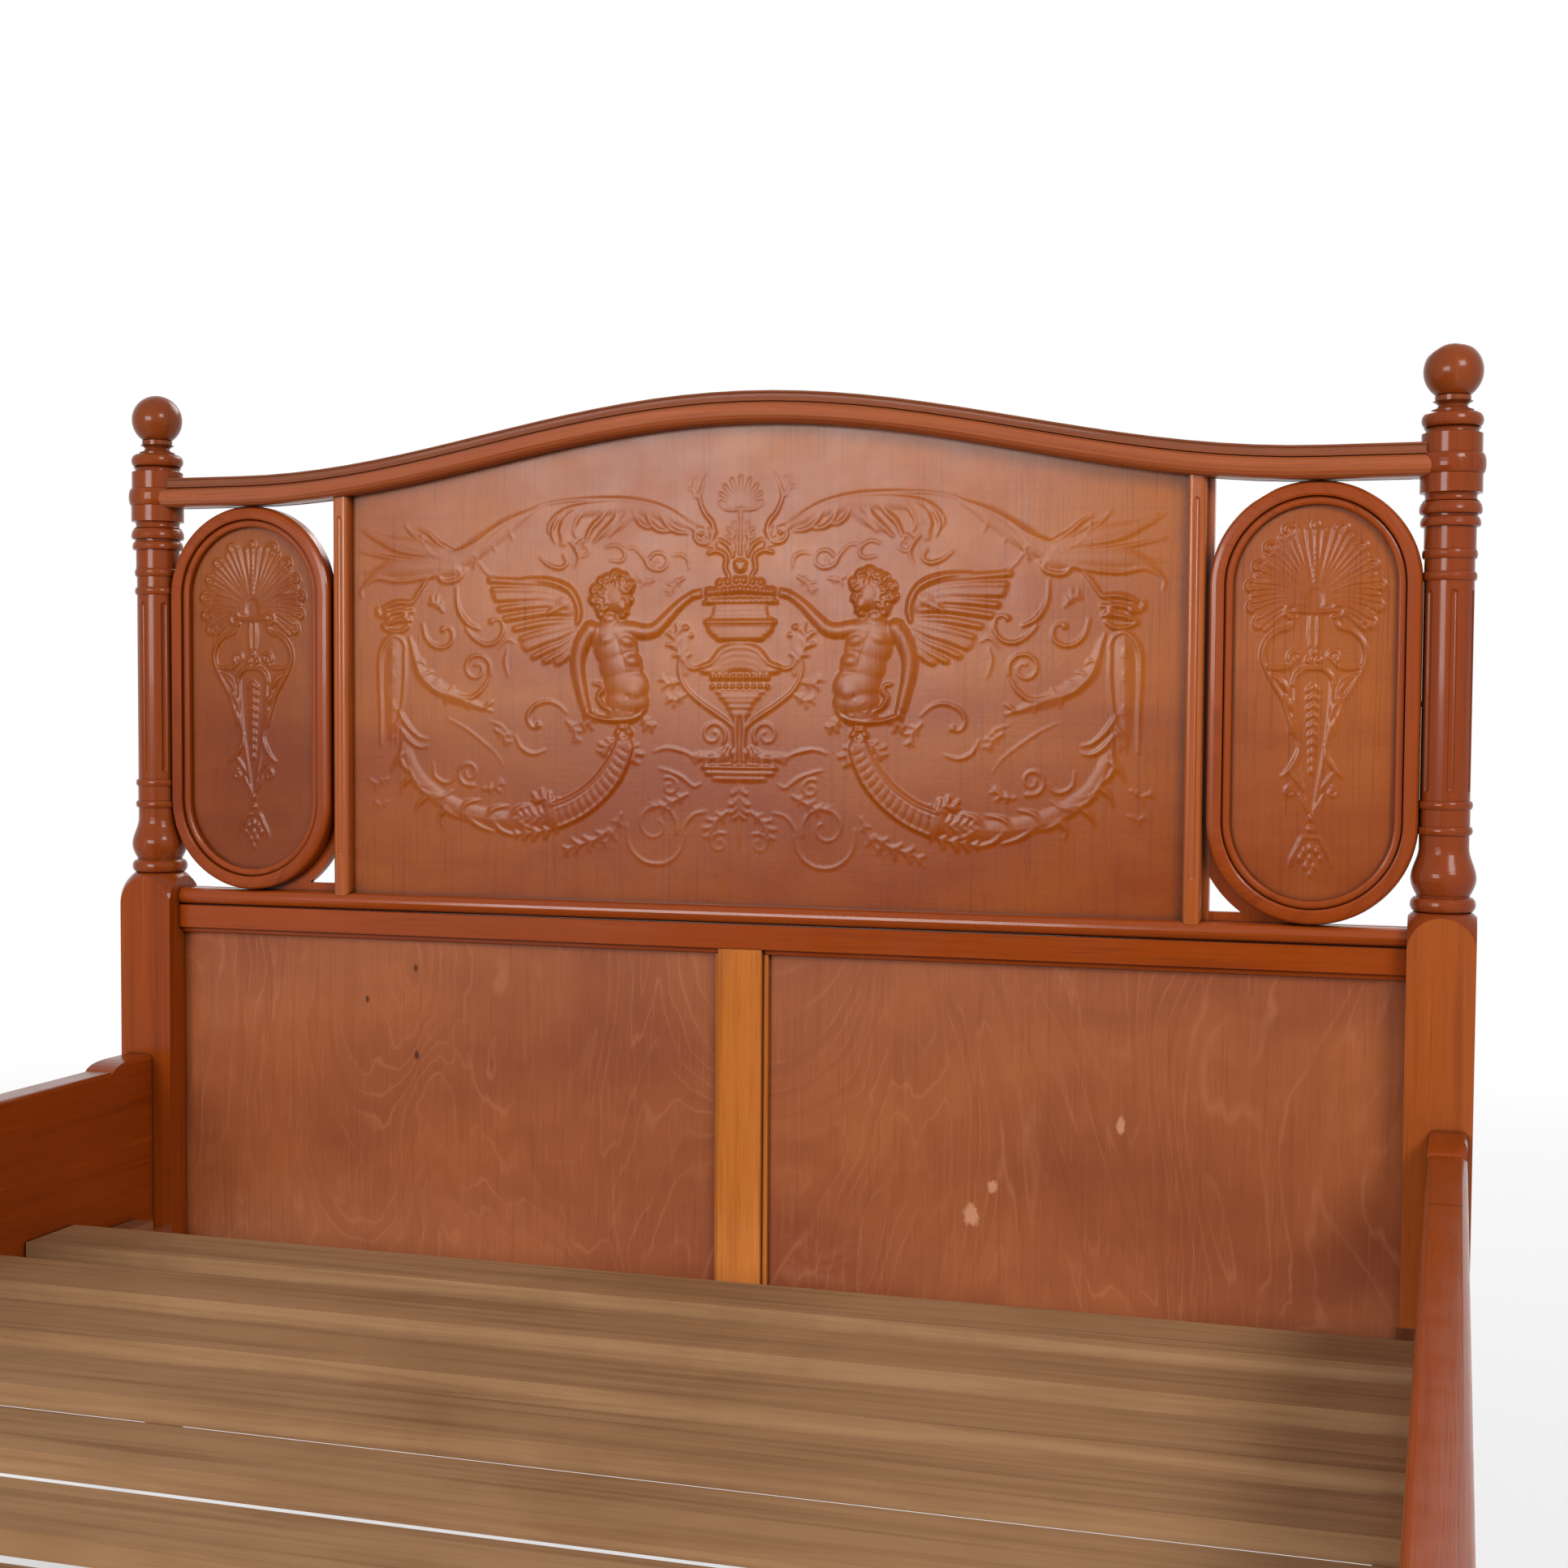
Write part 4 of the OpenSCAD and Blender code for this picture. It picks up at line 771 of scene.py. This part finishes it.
def tie_and_drop(g):
    """A knotted ribbon with a long hanging tassel."""
    g.line([(366, 356), (376, 344), (386, 330), (396, 323)], (1.4, 2.2, 1.6), 2)
    for a, b in (((388, 328), (424, 322)), ((388, 318), (426, 312)), ((390, 308), (424, 302))):
        mid = ((a[0] + b[0]) / 2, (a[1] + b[1]) / 2 + 3)
        g.line([a, mid, b], (2.2, 3.2, 2), 2.8)
    g.blob(396, 312, 6, 8, 3.2)
    g.blob(418, 314, 6, 7, 3)
    g.blob(430, 318, 3.4, 6, 2.2)
    g.line([(392, 302), (400, 296), (412, 296), (424, 300)], (1.8, 2.4, 1.6), 2.6)
    edge = [(396, 276), (400, 286), (410, 291), (420, 285), (427, 270), (428, 246), (427, 210), (427, 168)]
    g.line(edge, (1.4, 2.6, 2.4, 1.8, 1), 2.2)
    g.line([(397, 274), (397, 244), (400, 216), (405, 190), (408, 170)], (1.4, 2, 1.8, 1), 1.9)
    for v in (270, 246, 212):
        g.blob(412, v, 5, 8, 2.2)
        g.groove([(409, v + 3), (412, v - 2), (415, v + 3)], (0.8, 1.2, 0.8), 1)
    g.line([(412, 290), (412, 230), (414, 168)], (2, 2.4, 1), 1.3)


def ring(g):
    """The great foliage ring with its inner scrolls."""
    stem = [(391, 289), (386, 270), (378, 248), (369, 238), (357, 229), (331, 221), (306, 212), (290, 207)]
    g.line(stem, (1.4, 2.2, 3.2, 2.4, 1.2), 2.1)
    sprigs = [
        ((384, 262), (372, 258)), ((376, 246), (362, 250)), ((366, 236), (352, 240)),
        ((345, 226), (336, 234)), ((318, 216), (310, 226)), ((330, 221), (318, 208)),
        ((352, 228), (346, 214)), ((300, 210), (288, 218)),
    ]
    for base, tip in sprigs:
        bend = ((base[0] + tip[0]) / 2 - 2, (base[1] + tip[1]) / 2 + 2)
        g.line([base, bend, tip], (1.8, 2, 0.8), 1.7)
    g.scroll(309, 254, 18, 200, 1.35, -1, (1.9, 1.6, 1), 1.8)
    g.line([(292, 246), (302, 231), (316, 222), (336, 225), (352, 232), (366, 229)],
             (1.2, 2.4, 2, 1), 1.9)
    g.line([(333, 345), (331, 322), (320, 305), (306, 298)], (1, 2, 3, 1.6), 2.2)
    g.line([(321, 298), (312, 288), (298, 281), (284, 284), (276, 296), (280, 308), (291, 308)],
             (1.4, 2.2, 1.8, 1.4), 1.9)
    g.blob(291, 306, 3, height=2.2)
    g.line([(375, 304), (370, 288), (360, 279), (347, 278), (338, 286), (340, 298), (350, 300)],
             (1.2, 2.2, 1.8, 1.4), 1.9)
    g.blob(350, 297, 3, height=2.2)
    g.leaf([(350, 318), (356, 326), (366, 330)], 8, 1.5, fat=1.3)
    g.line([(271, 276), (274, 261), (270, 245)], (0.9, 1.8, 0.9), 1.5)
    g.line([(282, 276), (272, 286), (262, 282)], (0.9, 1.6, 0.9), 1.3)
    outer = [(406, 208), (404, 190), (398, 168), (392, 146), (382, 126), (366, 110), (344, 98), (318, 90),
             (288, 86), (258, 88)]
    g.line(outer, (1, 1.8, 2.6, 3, 3.2, 2.6), 1.7)
    g.line([(344, 198), (325, 189), (303, 174), (286, 160), (276, 146)], (0.8, 1.3, 0.8), 1)
    g.line([(294, 196), (278, 190), (268, 178)], (0.8, 1.3, 0.8), 1)
    leaflets = [
        [(404, 206), (394, 190), (380, 178), (369, 175)], [(402, 186), (390, 172), (378, 166), (368, 168)],
        [(400, 168), (402, 152), (392, 138), (374, 128)], [(392, 142), (384, 128), (372, 122), (360, 124)],
        [(384, 124), (370, 114), (356, 112), (340, 107)], [(364, 108), (348, 112), (338, 118)],
        [(350, 98), (336, 90), (322, 86)], [(330, 94), (320, 104), (304, 108)],
        [(320, 88), (304, 78), (286, 72)], [(300, 88), (288, 98), (270, 102)],
        [(290, 86), (278, 74), (258, 68)], [(268, 90), (256, 100), (240, 104)],
        [(396, 160), (408, 150), (414, 138)], [(386, 134), (398, 124), (402, 112)],
        [(368, 112), (380, 102), (384, 92)], [(346, 99), (354, 88), (352, 78)],
        [(404, 196), (412, 184), (414, 172)], [(262, 88), (246, 78), (226, 74)],
    ]
    for points in leaflets:
        g.line(points, (2.4, 3.2, 2, 0.8), 2.2)
    g.scroll(318, 138, 15, 250, 1.3, 1, (1.9, 1.5, 1), 1.6)
    g.line([(362, 148), (360, 134), (350, 127), (340, 128), (334, 136)], (1, 1.8, 1.1), 1.5)
    g.leaf([(300, 120), (286, 122), (276, 130)], 8, 1.3)
    g.line([(200, 205), (210, 214), (224, 218), (240, 212), (247, 200), (242, 190), (232, 190)],
             (1, 1.9, 1.9, 1.3), 1.7)
    g.blob(234, 192, 3.2, height=2)
    g.line([(262, 180), (254, 166), (240, 160), (226, 164)], (1, 2, 1), 1.6)
    g.leaf([(286, 186), (276, 180), (270, 170)], 8, 1.3)
    g.leaf([(200, 196), (190, 186), (188, 172)], 9, 1.3)
    g.leaf([(420, 130), (432, 124), (444, 128)], 7, 1.1)
    g.leaf([(418, 104), (428, 100), (436, 104)], 6, 0.9)


def tail(g):
    """Ribbed tail from the hips to the first acanthus sheath."""
    mid = spline([(132, 172), (138, 156), (150, 136), (168, 117), (190, 102), (214, 92)], 1)
    half = np.interp(np.linspace(0, 1, len(mid)), [0, 0.3, 1], [10, 13, 15])
    box, form = g.stamp(mid, half, np.full(len(mid), 3.2), 0.45)
    g.merge(box, form)
    ahead = np.gradient(mid, axis=0)
    ahead /= np.hypot(*ahead.T)[:, None]
    across = np.stack([-ahead[:, 1], ahead[:, 0]], 1)
    for side, r in ((0.82, 1.8), (-0.86, 2.2), (0.45, 1)):
        g.line(mid + across * (half * side)[:, None], (r, r), 3.9)
    for k in range(6, len(mid) - 4, 9):
        a = mid[k] + across[k] * half[k] * 0.42
        b = mid[k] - across[k] * half[k] * 0.80 + ahead[k] * 2
        g.groove([a, (a + b) / 2 + ahead[k] * 1.2, b], (0.8, 1.1, 0.8), 1.1)
    g.leaf([(204, 100), (216, 106), (232, 112), (242, 108)], 10, 2.6, 4, fat=1.5)
    g.leaf([(206, 92), (224, 90), (244, 90), (262, 92)], 13, 2.6, 5, fat=1.4)
    g.leaf([(204, 84), (222, 76), (246, 72), (268, 70)], 10, 2.2, 5, fat=1.3)
    for a in range(0, 360, 60):
        c, s = polar(a)
        g.blob(133 + 6.5 * c, 184 + 6.5 * s, 4.4, height=3.6)
    g.blob(133, 184, 3.6, height=3)
    g.groove([(131, 182), (135, 186)], (1.4, 1.4), 1.6)
    g.leaf([(128, 174), (120, 164), (122, 150)], 9, 2, fat=1.3)
    g.leaf([(142, 176), (152, 170), (160, 160)], 9, 2, fat=1.3)


def wing(g):
    long_feathers = [
        [(196, 336), (222, 346), (252, 349), (292, 352)], [(196, 331), (224, 339), (256, 341), (288, 341)],
        [(196, 326), (224, 332), (254, 332), (284, 331)], [(196, 320), (222, 324), (250, 323), (280, 320)],
        [(198, 315), (222, 316), (248, 313), (274, 309)],
    ]
    short_feathers = [
        [(194, 306), (216, 305), (236, 303), (262, 298)], [(193, 301), (212, 297), (232, 293), (254, 287)],
        [(192, 296), (210, 289), (228, 284), (248, 276)], [(191, 291), (206, 281), (222, 275), (240, 267)],
        [(190, 286), (202, 275), (214, 268), (226, 262)], [(189, 281), (197, 271), (205, 264), (212, 260)],
    ]
    for points in long_feathers:
        g.feather(points, 4.4, 2.4)
    for points in short_feathers:
        g.feather(points, 4.2, 2.2)
    g.line([(188, 304), (186, 316), (190, 330), (200, 342), (222, 350), (252, 353)],
             (3, 4.4, 4.6, 3.6, 1.6), 3.8)
    g.blob(204, 326, 14, 10, 3, 20)
    for k in range(5):
        g.line([(196 + 5 * k, 330 - 2 * k), (202 + 5 * k, 322 - 2 * k)], (2, 2.6), 3.3)


def figure(g):
    """A chubby winged child reaching for the fruit; body to the hips."""
    hips = [
        (146, 291, 27, 18, 4.6, -8), (142, 275, 26, 21, 4.8, 10), (136, 256, 25, 22, 5, 15),
        (130, 237, 26, 21, 5.4, 10), (129, 219, 25, 18, 5.2, 0), (133, 205, 20, 12, 4.2, 0),
    ]
    for u, v, ru, rv, h, turn in hips:
        g.blob(u, v, ru, rv, h, turn, 0.5)
    g.blob(131, 284, 14, 10, 5.3, 20, 0.6)
    g.blob(153, 286, 15, 11, 5.2, -15, 0.6)
    g.blob(125, 262, 13, 10, 5.5, 0, 0.6)
    g.blob(123, 230, 17, 16, 6, 0, 0.6)
    g.groove([(143, 292), (138, 276), (132, 258), (128, 244)], (1, 1.6, 0.8), 0.8)
    g.groove([(116, 270), (126, 272), (138, 268)], (0.8, 1.3, 0.6), 0.7)
    g.groove([(113, 248), (122, 250), (134, 248)], (0.8, 1.3, 0.6), 0.6)
    g.groove([(127, 226), (128, 223)], (1.2, 1.2), 1.2)
    near = [(172, 296), (181, 284), (187, 266), (186, 246), (182, 228), (178, 212)]
    g.line(near, (8.5, 8, 7, 6.2, 5.4, 4.6), 5, 0.5)
    g.blob(176, 206, 5, 6.4, 3.8, 15)
    for k in range(3):
        g.line([(173 + 3 * k, 204), (171 + 3.4 * k, 197)], (1.6, 1.1), 2.8)
    far = [(138, 296), (124, 296), (108, 294), (96, 297), (84, 308), (72, 320), (62, 328), (52, 334)]
    g.line(far, (8, 7, 6.2, 5.2, 4.2, 3.6), 4.2, 0.5)
    for k in range(3):
        g.line([(54, 335 - 2 * k), (44, 338 - 3 * k)], (1.8, 1.2), 3.6)
    g.blob(150, 308, 10, 8, 4.2, 0, 0.5)
    head(g)
    skirt(g)


def head(g):
    g.blob(144, 332, 18, 19, 5.2, 0, 0.5)
    g.blob(136, 324, 10, 11, 5.8, 0, 0.5)
    g.blob(133, 320, 5.4, 5, 6.2, 0, 0.5)
    g.line([(128, 334), (125, 328), (127, 325)], (1.4, 2, 1.6), 6.2)
    g.blob(131, 315, 4.2, 2.6, 5.8)
    g.groove([(129, 319), (134, 318)], (0.7, 0.9, 0.5), 0.9)
    g.groove([(130, 333), (137, 333)], (0.9, 1.5, 0.8), 1)
    g.line([(128, 337), (134, 339), (140, 337)], (1.1, 1.5, 1), 5.9)
    g.blob(135, 311, 5, 3.8, 5.2)
    curls = [
        (126, 346), (134, 351), (143, 354), (152, 353), (160, 348), (165, 340), (166, 330), (163, 321),
        (158, 314), (130, 341), (140, 345), (150, 346), (157, 338), (158, 328), (154, 320),
    ]
    for k, (u, v) in enumerate(curls):
        g.scroll(u, v, 5.4, 60 * k, 0.9, 1 if k % 2 else -1, (2.6, 2.4, 1.8), 6)


def skirt(g):
    """Leaf curls round the hips and the belt over the rosette."""
    g.line([(176, 205), (162, 200), (148, 198), (132, 198), (116, 202), (108, 210)],
             (1.6, 2.6, 2.6, 1.4), 4.6)
    g.line([(158, 232), (163, 224), (158, 214), (148, 208)], (1.4, 2.2, 1.4), 5)
    g.line([(168, 238), (160, 236), (158, 228), (164, 224)], (1.2, 2, 1.2), 3)
    g.scroll(140, 212, 7, 90, 1.1, 1, (1.6, 1.4, 1.1), 5.4)
    g.scroll(124, 208, 6, 90, 1.1, -1, (1.6, 1.4, 1.1), 5.2)
    g.leaf([(166, 206), (172, 196), (182, 190)], 8, 2, fat=1.3)
    g.leaf([(112, 204), (106, 194), (98, 190)], 8, 1.8, fat=1.3)


def pressed_oval():
    """A shell palmette over leaf scrolls that end in a tassel."""
    g = Relief(width=90, height=445, cell=0.8, fat=1.25)
    fan = [(90, 74), (68, 76), (48, 70), (30, 66), (11, 65), (-8, 62), (-25, 60)]
    for angle, reach in fan:
        c, s = polar(angle)
        for spread, part in ((-6.5, 0.93), (0, 1), (6.5, 0.93)):
            ca, sa = polar(angle + spread)
            bend, end = reach * 0.55, reach * part
            lift = 0 if angle == 90 else (1.5 if angle > 20 else 4)
            middle = (ca * bend, 322 + sa * bend + lift)
            g.line([(ca * 8.4, 322 + sa * 12), middle, (ca * end, 322 + sa * end)], (0.7, 1.3, 2), 1.5)
        g.scroll(c * reach * 0.97, 322 + s * reach * 0.97, 7.5, angle + 90, 0.55, -1, (1.5, 1.6, 1.4), 1.7)
        g.blob(c * (reach - 8), 322 + s * (reach - 8), 3.2, 3.2, 1.4)
    for k in range(7):
        g.blob(0, 340 + 5.5 * k, 1.6 + 0.1 * k, 2.2, 1.6)
    g.line([(0, 310), (18, 311)], (1.6, 1.8), 2)
    g.scroll(22, 312, 8, 240, 1.2, 1, (1.7, 1.4, 1), 2)
    g.line([(3, 308), (4, 292), (3, 276)], (1.3, 1.5, 1), 1.6)
    side = [(18, 306), (24, 295), (36, 291), (46, 281), (50, 267), (46, 252), (38, 238), (30, 224),
            (24, 206), (21, 190)]
    g.line(side, (1.4, 2.2, 2.4, 1.8, 2.2, 1.8, 1.2), 2)
    g.line([(46, 256), (36, 254), (24, 256), (18, 262)], (1.6, 2.4, 1.4), 1.8)
    g.scroll(18, 266, 7, 300, 1.2, 1, (1.5, 1.3, 1), 1.8)
    g.blob(5, 262, 3.6, 5, 1.9)
    g.blob(0, 270, 2.6, 4, 1.9)
    g.line([(42, 248), (34, 244), (26, 234), (24, 226)], (1.2, 3.4, 1.6), 2.2)
    g.line([(32, 228), (24, 222), (19, 212), (20, 204)], (1.2, 3, 1.4), 2.2)
    g.line([(26, 210), (20, 200), (17, 186)], (1.2, 2.4, 1), 1.9)
    g.line([(0, 254), (8, 254), (16, 248), (20, 238)], (1.8, 2.2, 1.4), 2.2)
    g.line([(18, 240), (17, 214), (14, 184), (9, 154), (4, 124), (2, 112)], (1.2, 1.4, 1.1, 0.8), 1.5)
    for k, v in enumerate(range(236, 150, -9)):
        r = 3.4 - 0.2 * k
        g.blob(0, v, r, 4.4, 1.9)
        g.blob(4.5 - 0.4 * k, v - 3, r * 0.8, 3.6, 1.6)
    g.line([(12, 178), (16, 164), (22, 154), (29, 147)], (1, 2.4, 1), 1.8)
    g.line([(22, 152), (14, 142), (8, 132)], (1, 1.7, 0.8), 1.4)
    g.scroll(20, 132, 6, 90, 1.1, -1, (1.4, 1.2, 0.9), 1.2)
    g.line([(12, 130), (6, 118), (2, 108)], (1, 1.8, 0.9), 1.3)
    g.blob(0, 106, 3.2, 5, 1.6)
    g.blob(0, 95, 4.2, 3.6, 1.4)
    g.line([(0, 86), (8, 86), (12, 78), (18, 66), (20, 58)], (1, 1.8, 1.6, 0.9), 1.5)
    for u, v in ((0, 76), (6, 73), (10, 66), (0, 66), (4, 58)):
        g.blob(u, v, 2.4, 5, 1.4)
    g.blob(0, 50, 2.2, 5, 1.2)
    g.soften(2)
    return g


def in_scene(name, data):
    obj = bpy.data.objects.new(name, data)
    bpy.context.scene.collection.objects.link(obj)
    return obj


def height_at(relief, u, v):
    """Height in metres at points given in metres, between the field's cells."""
    i = np.clip(np.abs(u) * 1000 / relief.cell, 0, len(relief.u) - 1.001)
    j = np.clip(v * 1000 / relief.cell, 0, len(relief.v) - 1.001)
    i0, j0 = i.astype(int), j.astype(int)
    fi, fj = i - i0, j - j0
    h = relief.h
    low = h[j0, i0] * (1 - fi) + h[j0, i0 + 1] * fi
    high = h[j0 + 1, i0] * (1 - fi) + h[j0 + 1, i0 + 1] * fi
    return (low * (1 - fj) + high * fj) / 1000


def relief_panel(node, relief, xs, low, high, rows, middle, front, back, veneer):
    """A closed panel whose front is the pressed pattern; columns run from low to high."""
    t = np.linspace(0, 1, rows)[:, None]
    z = low[None] + t * (high - low)[None]
    x = np.broadcast_to(xs[None], z.shape)
    y = front - height_at(relief, x - middle, z - RAIL_TOP)
    n = len(xs)
    face = np.stack([x, y, z], -1).reshape(-1, 3)
    rear = np.concatenate([np.stack([xs, np.full(n, back), edge], 1) for edge in (low, high)])
    base = n * rows
    grid = np.arange(base).reshape(rows, n)
    quads = np.stack([grid[:-1, :-1], grid[:-1, 1:], grid[1:, 1:], grid[1:, :-1]], -1).reshape(-1, 4)
    faces = quads.tolist()
    count = len(faces)
    for i in range(n - 1):
        a, b, c, d = base + i, base + i + 1, base + n + i + 1, base + n + i
        faces.append((b, a, d, c))
        faces.append((a, b, i + 1, i))
        top = (rows - 1) * n + i
        faces.append((c, d, top, top + 1))
    faces.append([*grid[:, 0].tolist(), base + n, base][::-1])
    faces.append([*grid[:, -1].tolist(), base + 2 * n - 1, base + n - 1])
    mesh = bpy.data.meshes.new(node + "_pressed")
    mesh.from_pydata(np.concatenate([face, rear]).tolist(), [], faces)
    mesh.polygons.foreach_set("use_smooth", [k < count for k in range(len(faces))])
    mesh.materials.append(veneer)
    piece = in_scene(node + "_pressed", mesh)
    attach(piece, "root")
    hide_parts(node)


def pressed_panels():
    xs = np.linspace(-PANEL_HALF, PANEL_HALF, CENTRE_GRID[0])
    high = CREST_LOW + PANEL_IN_CREST + crest_rise(xs)
    low = np.full(len(xs), PANEL_LOW)
    veneer = pressed_veneer("pressed_veneer", (1, 1, 1))
    relief_panel("head_centre_panel", pressed_centre(), xs, low, high, CENTRE_GRID[1], PATTERN_X,
                 PANEL_FRONT, PANEL_BACK, veneer)
    shell = pressed_oval()
    t = np.linspace(-1, 1, OVAL_GRID[0])
    off = OVAL_PANEL_R * (t + np.sin(t * math.pi / 2)) / 2
    reach = np.sqrt(np.maximum(OVAL_PANEL_R ** 2 - off ** 2, 0))
    # the left oval panel's tint is painted shade, the right one's painted sheen
    for side, sign, tone_and_painted_light in (("left", -1, (0.74, 0.64, 0.3)), ("right", 1, (1, 1.02, 3.6))):
        middle = sign * OVAL_X
        veneer = pressed_veneer("pressed_veneer_" + side, tone_and_painted_light)
        relief_panel("oval_panel_" + side, shell, middle + off, OVAL_LOW - reach, OVAL_HIGH + reach,
                     OVAL_GRID[1], middle, OVAL_FRONT, OVAL_BACK, veneer)


# Stage


def camera():
    """The photograph's camera, found from the headboard's known points."""
    cam = bpy.data.cameras.new("camera")
    cam.sensor_width = 36
    cam.lens = cam.sensor_width * FOCAL / PHOTO_WIDTH
    cam.shift_y = (MIDDLE_ROW - PHOTO_WIDTH / 2) / PHOTO_WIDTH
    cam.clip_start = 0.05
    obj = in_scene("camera", cam)
    place = Matrix.Translation(CAMERA_PLACE)
    for angle, axis in ((YAW, "Z"), (math.pi / 2 - PITCH, "X"), (ROLL, "Z")):
        place = place @ Matrix.Rotation(angle, 4, axis)
    obj.matrix_world = place
    bpy.context.scene.camera = obj


def area_light(name, place, target, size, power):
    lamp = bpy.data.lights.new(name, "AREA")
    lamp.shape = "RECTANGLE"
    lamp.size, lamp.size_y = size
    lamp.energy = power
    obj = in_scene(name, lamp)
    obj.location = place
    aim = Vector(target) - Vector(place)
    obj.rotation_euler = aim.to_track_quat("-Z", "Y").to_euler()


def world():
    """White where it is seen, and a soft fill for the bed."""
    g = Graph(bpy.data.worlds.new("studio"))
    bpy.context.scene.world = g.owner
    fill = g.tree.nodes["Background"]
    white = g.add("ShaderNodeBackground")
    for background, strength in ((fill, 0.31), (white, 1)):
        background.inputs["Color"].default_value = (1, 1, 1, 1)
        background.inputs["Strength"].default_value = strength
    g.surface("World Output", g.seen_directly(), fill.outputs[0], white.outputs[0])


def floor():
    """A pale floor that fades to plain white away from the bed."""
    bpy.ops.mesh.primitive_plane_add(size=40, location=(0, 0, 0))
    plane = bpy.context.object
    plane.name = "floor"
    g = material("pale_floor")
    g.gloss(0.05)
    glow = g.add("ShaderNodeEmission")
    glow.inputs["Strength"].default_value = 1
    x, y, _ = g.axes()
    fade = g.ramp(g.math("DIVIDE", g.length(x, y), 6), [(0.25, 0.5), (0.75, 1)])
    white = g.math("MULTIPLY", fade, g.seen_directly())
    g.surface("Material Output", white, g.shader.outputs[0], glow.outputs[0])
    plane.data.materials.append(g.finish((0.88, 0.88, 0.88, 1), 0.9))


def stage():
    floor()
    world()
    area_light("window", (-1.3, HEAD_Y - 4.0, 1.53), (-0.6, HEAD_Y, 1.2), (1.9, 1.1), 104)
    area_light("room", (2.4, HEAD_Y - 2.4, 2.5), (0.2, HEAD_Y, 0.9), (1.2, 1), 72)
    area_light("behind", (0.3, HEAD_Y + 2.4, 3.0), (0.0, HEAD_Y, 0.8), (2.0, 1.4), 50)
    bpy.context.scene.view_settings.view_transform = "Standard"


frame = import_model()
dress_nodes(frame["nodes"])
pressed_panels()
camera()
stage()
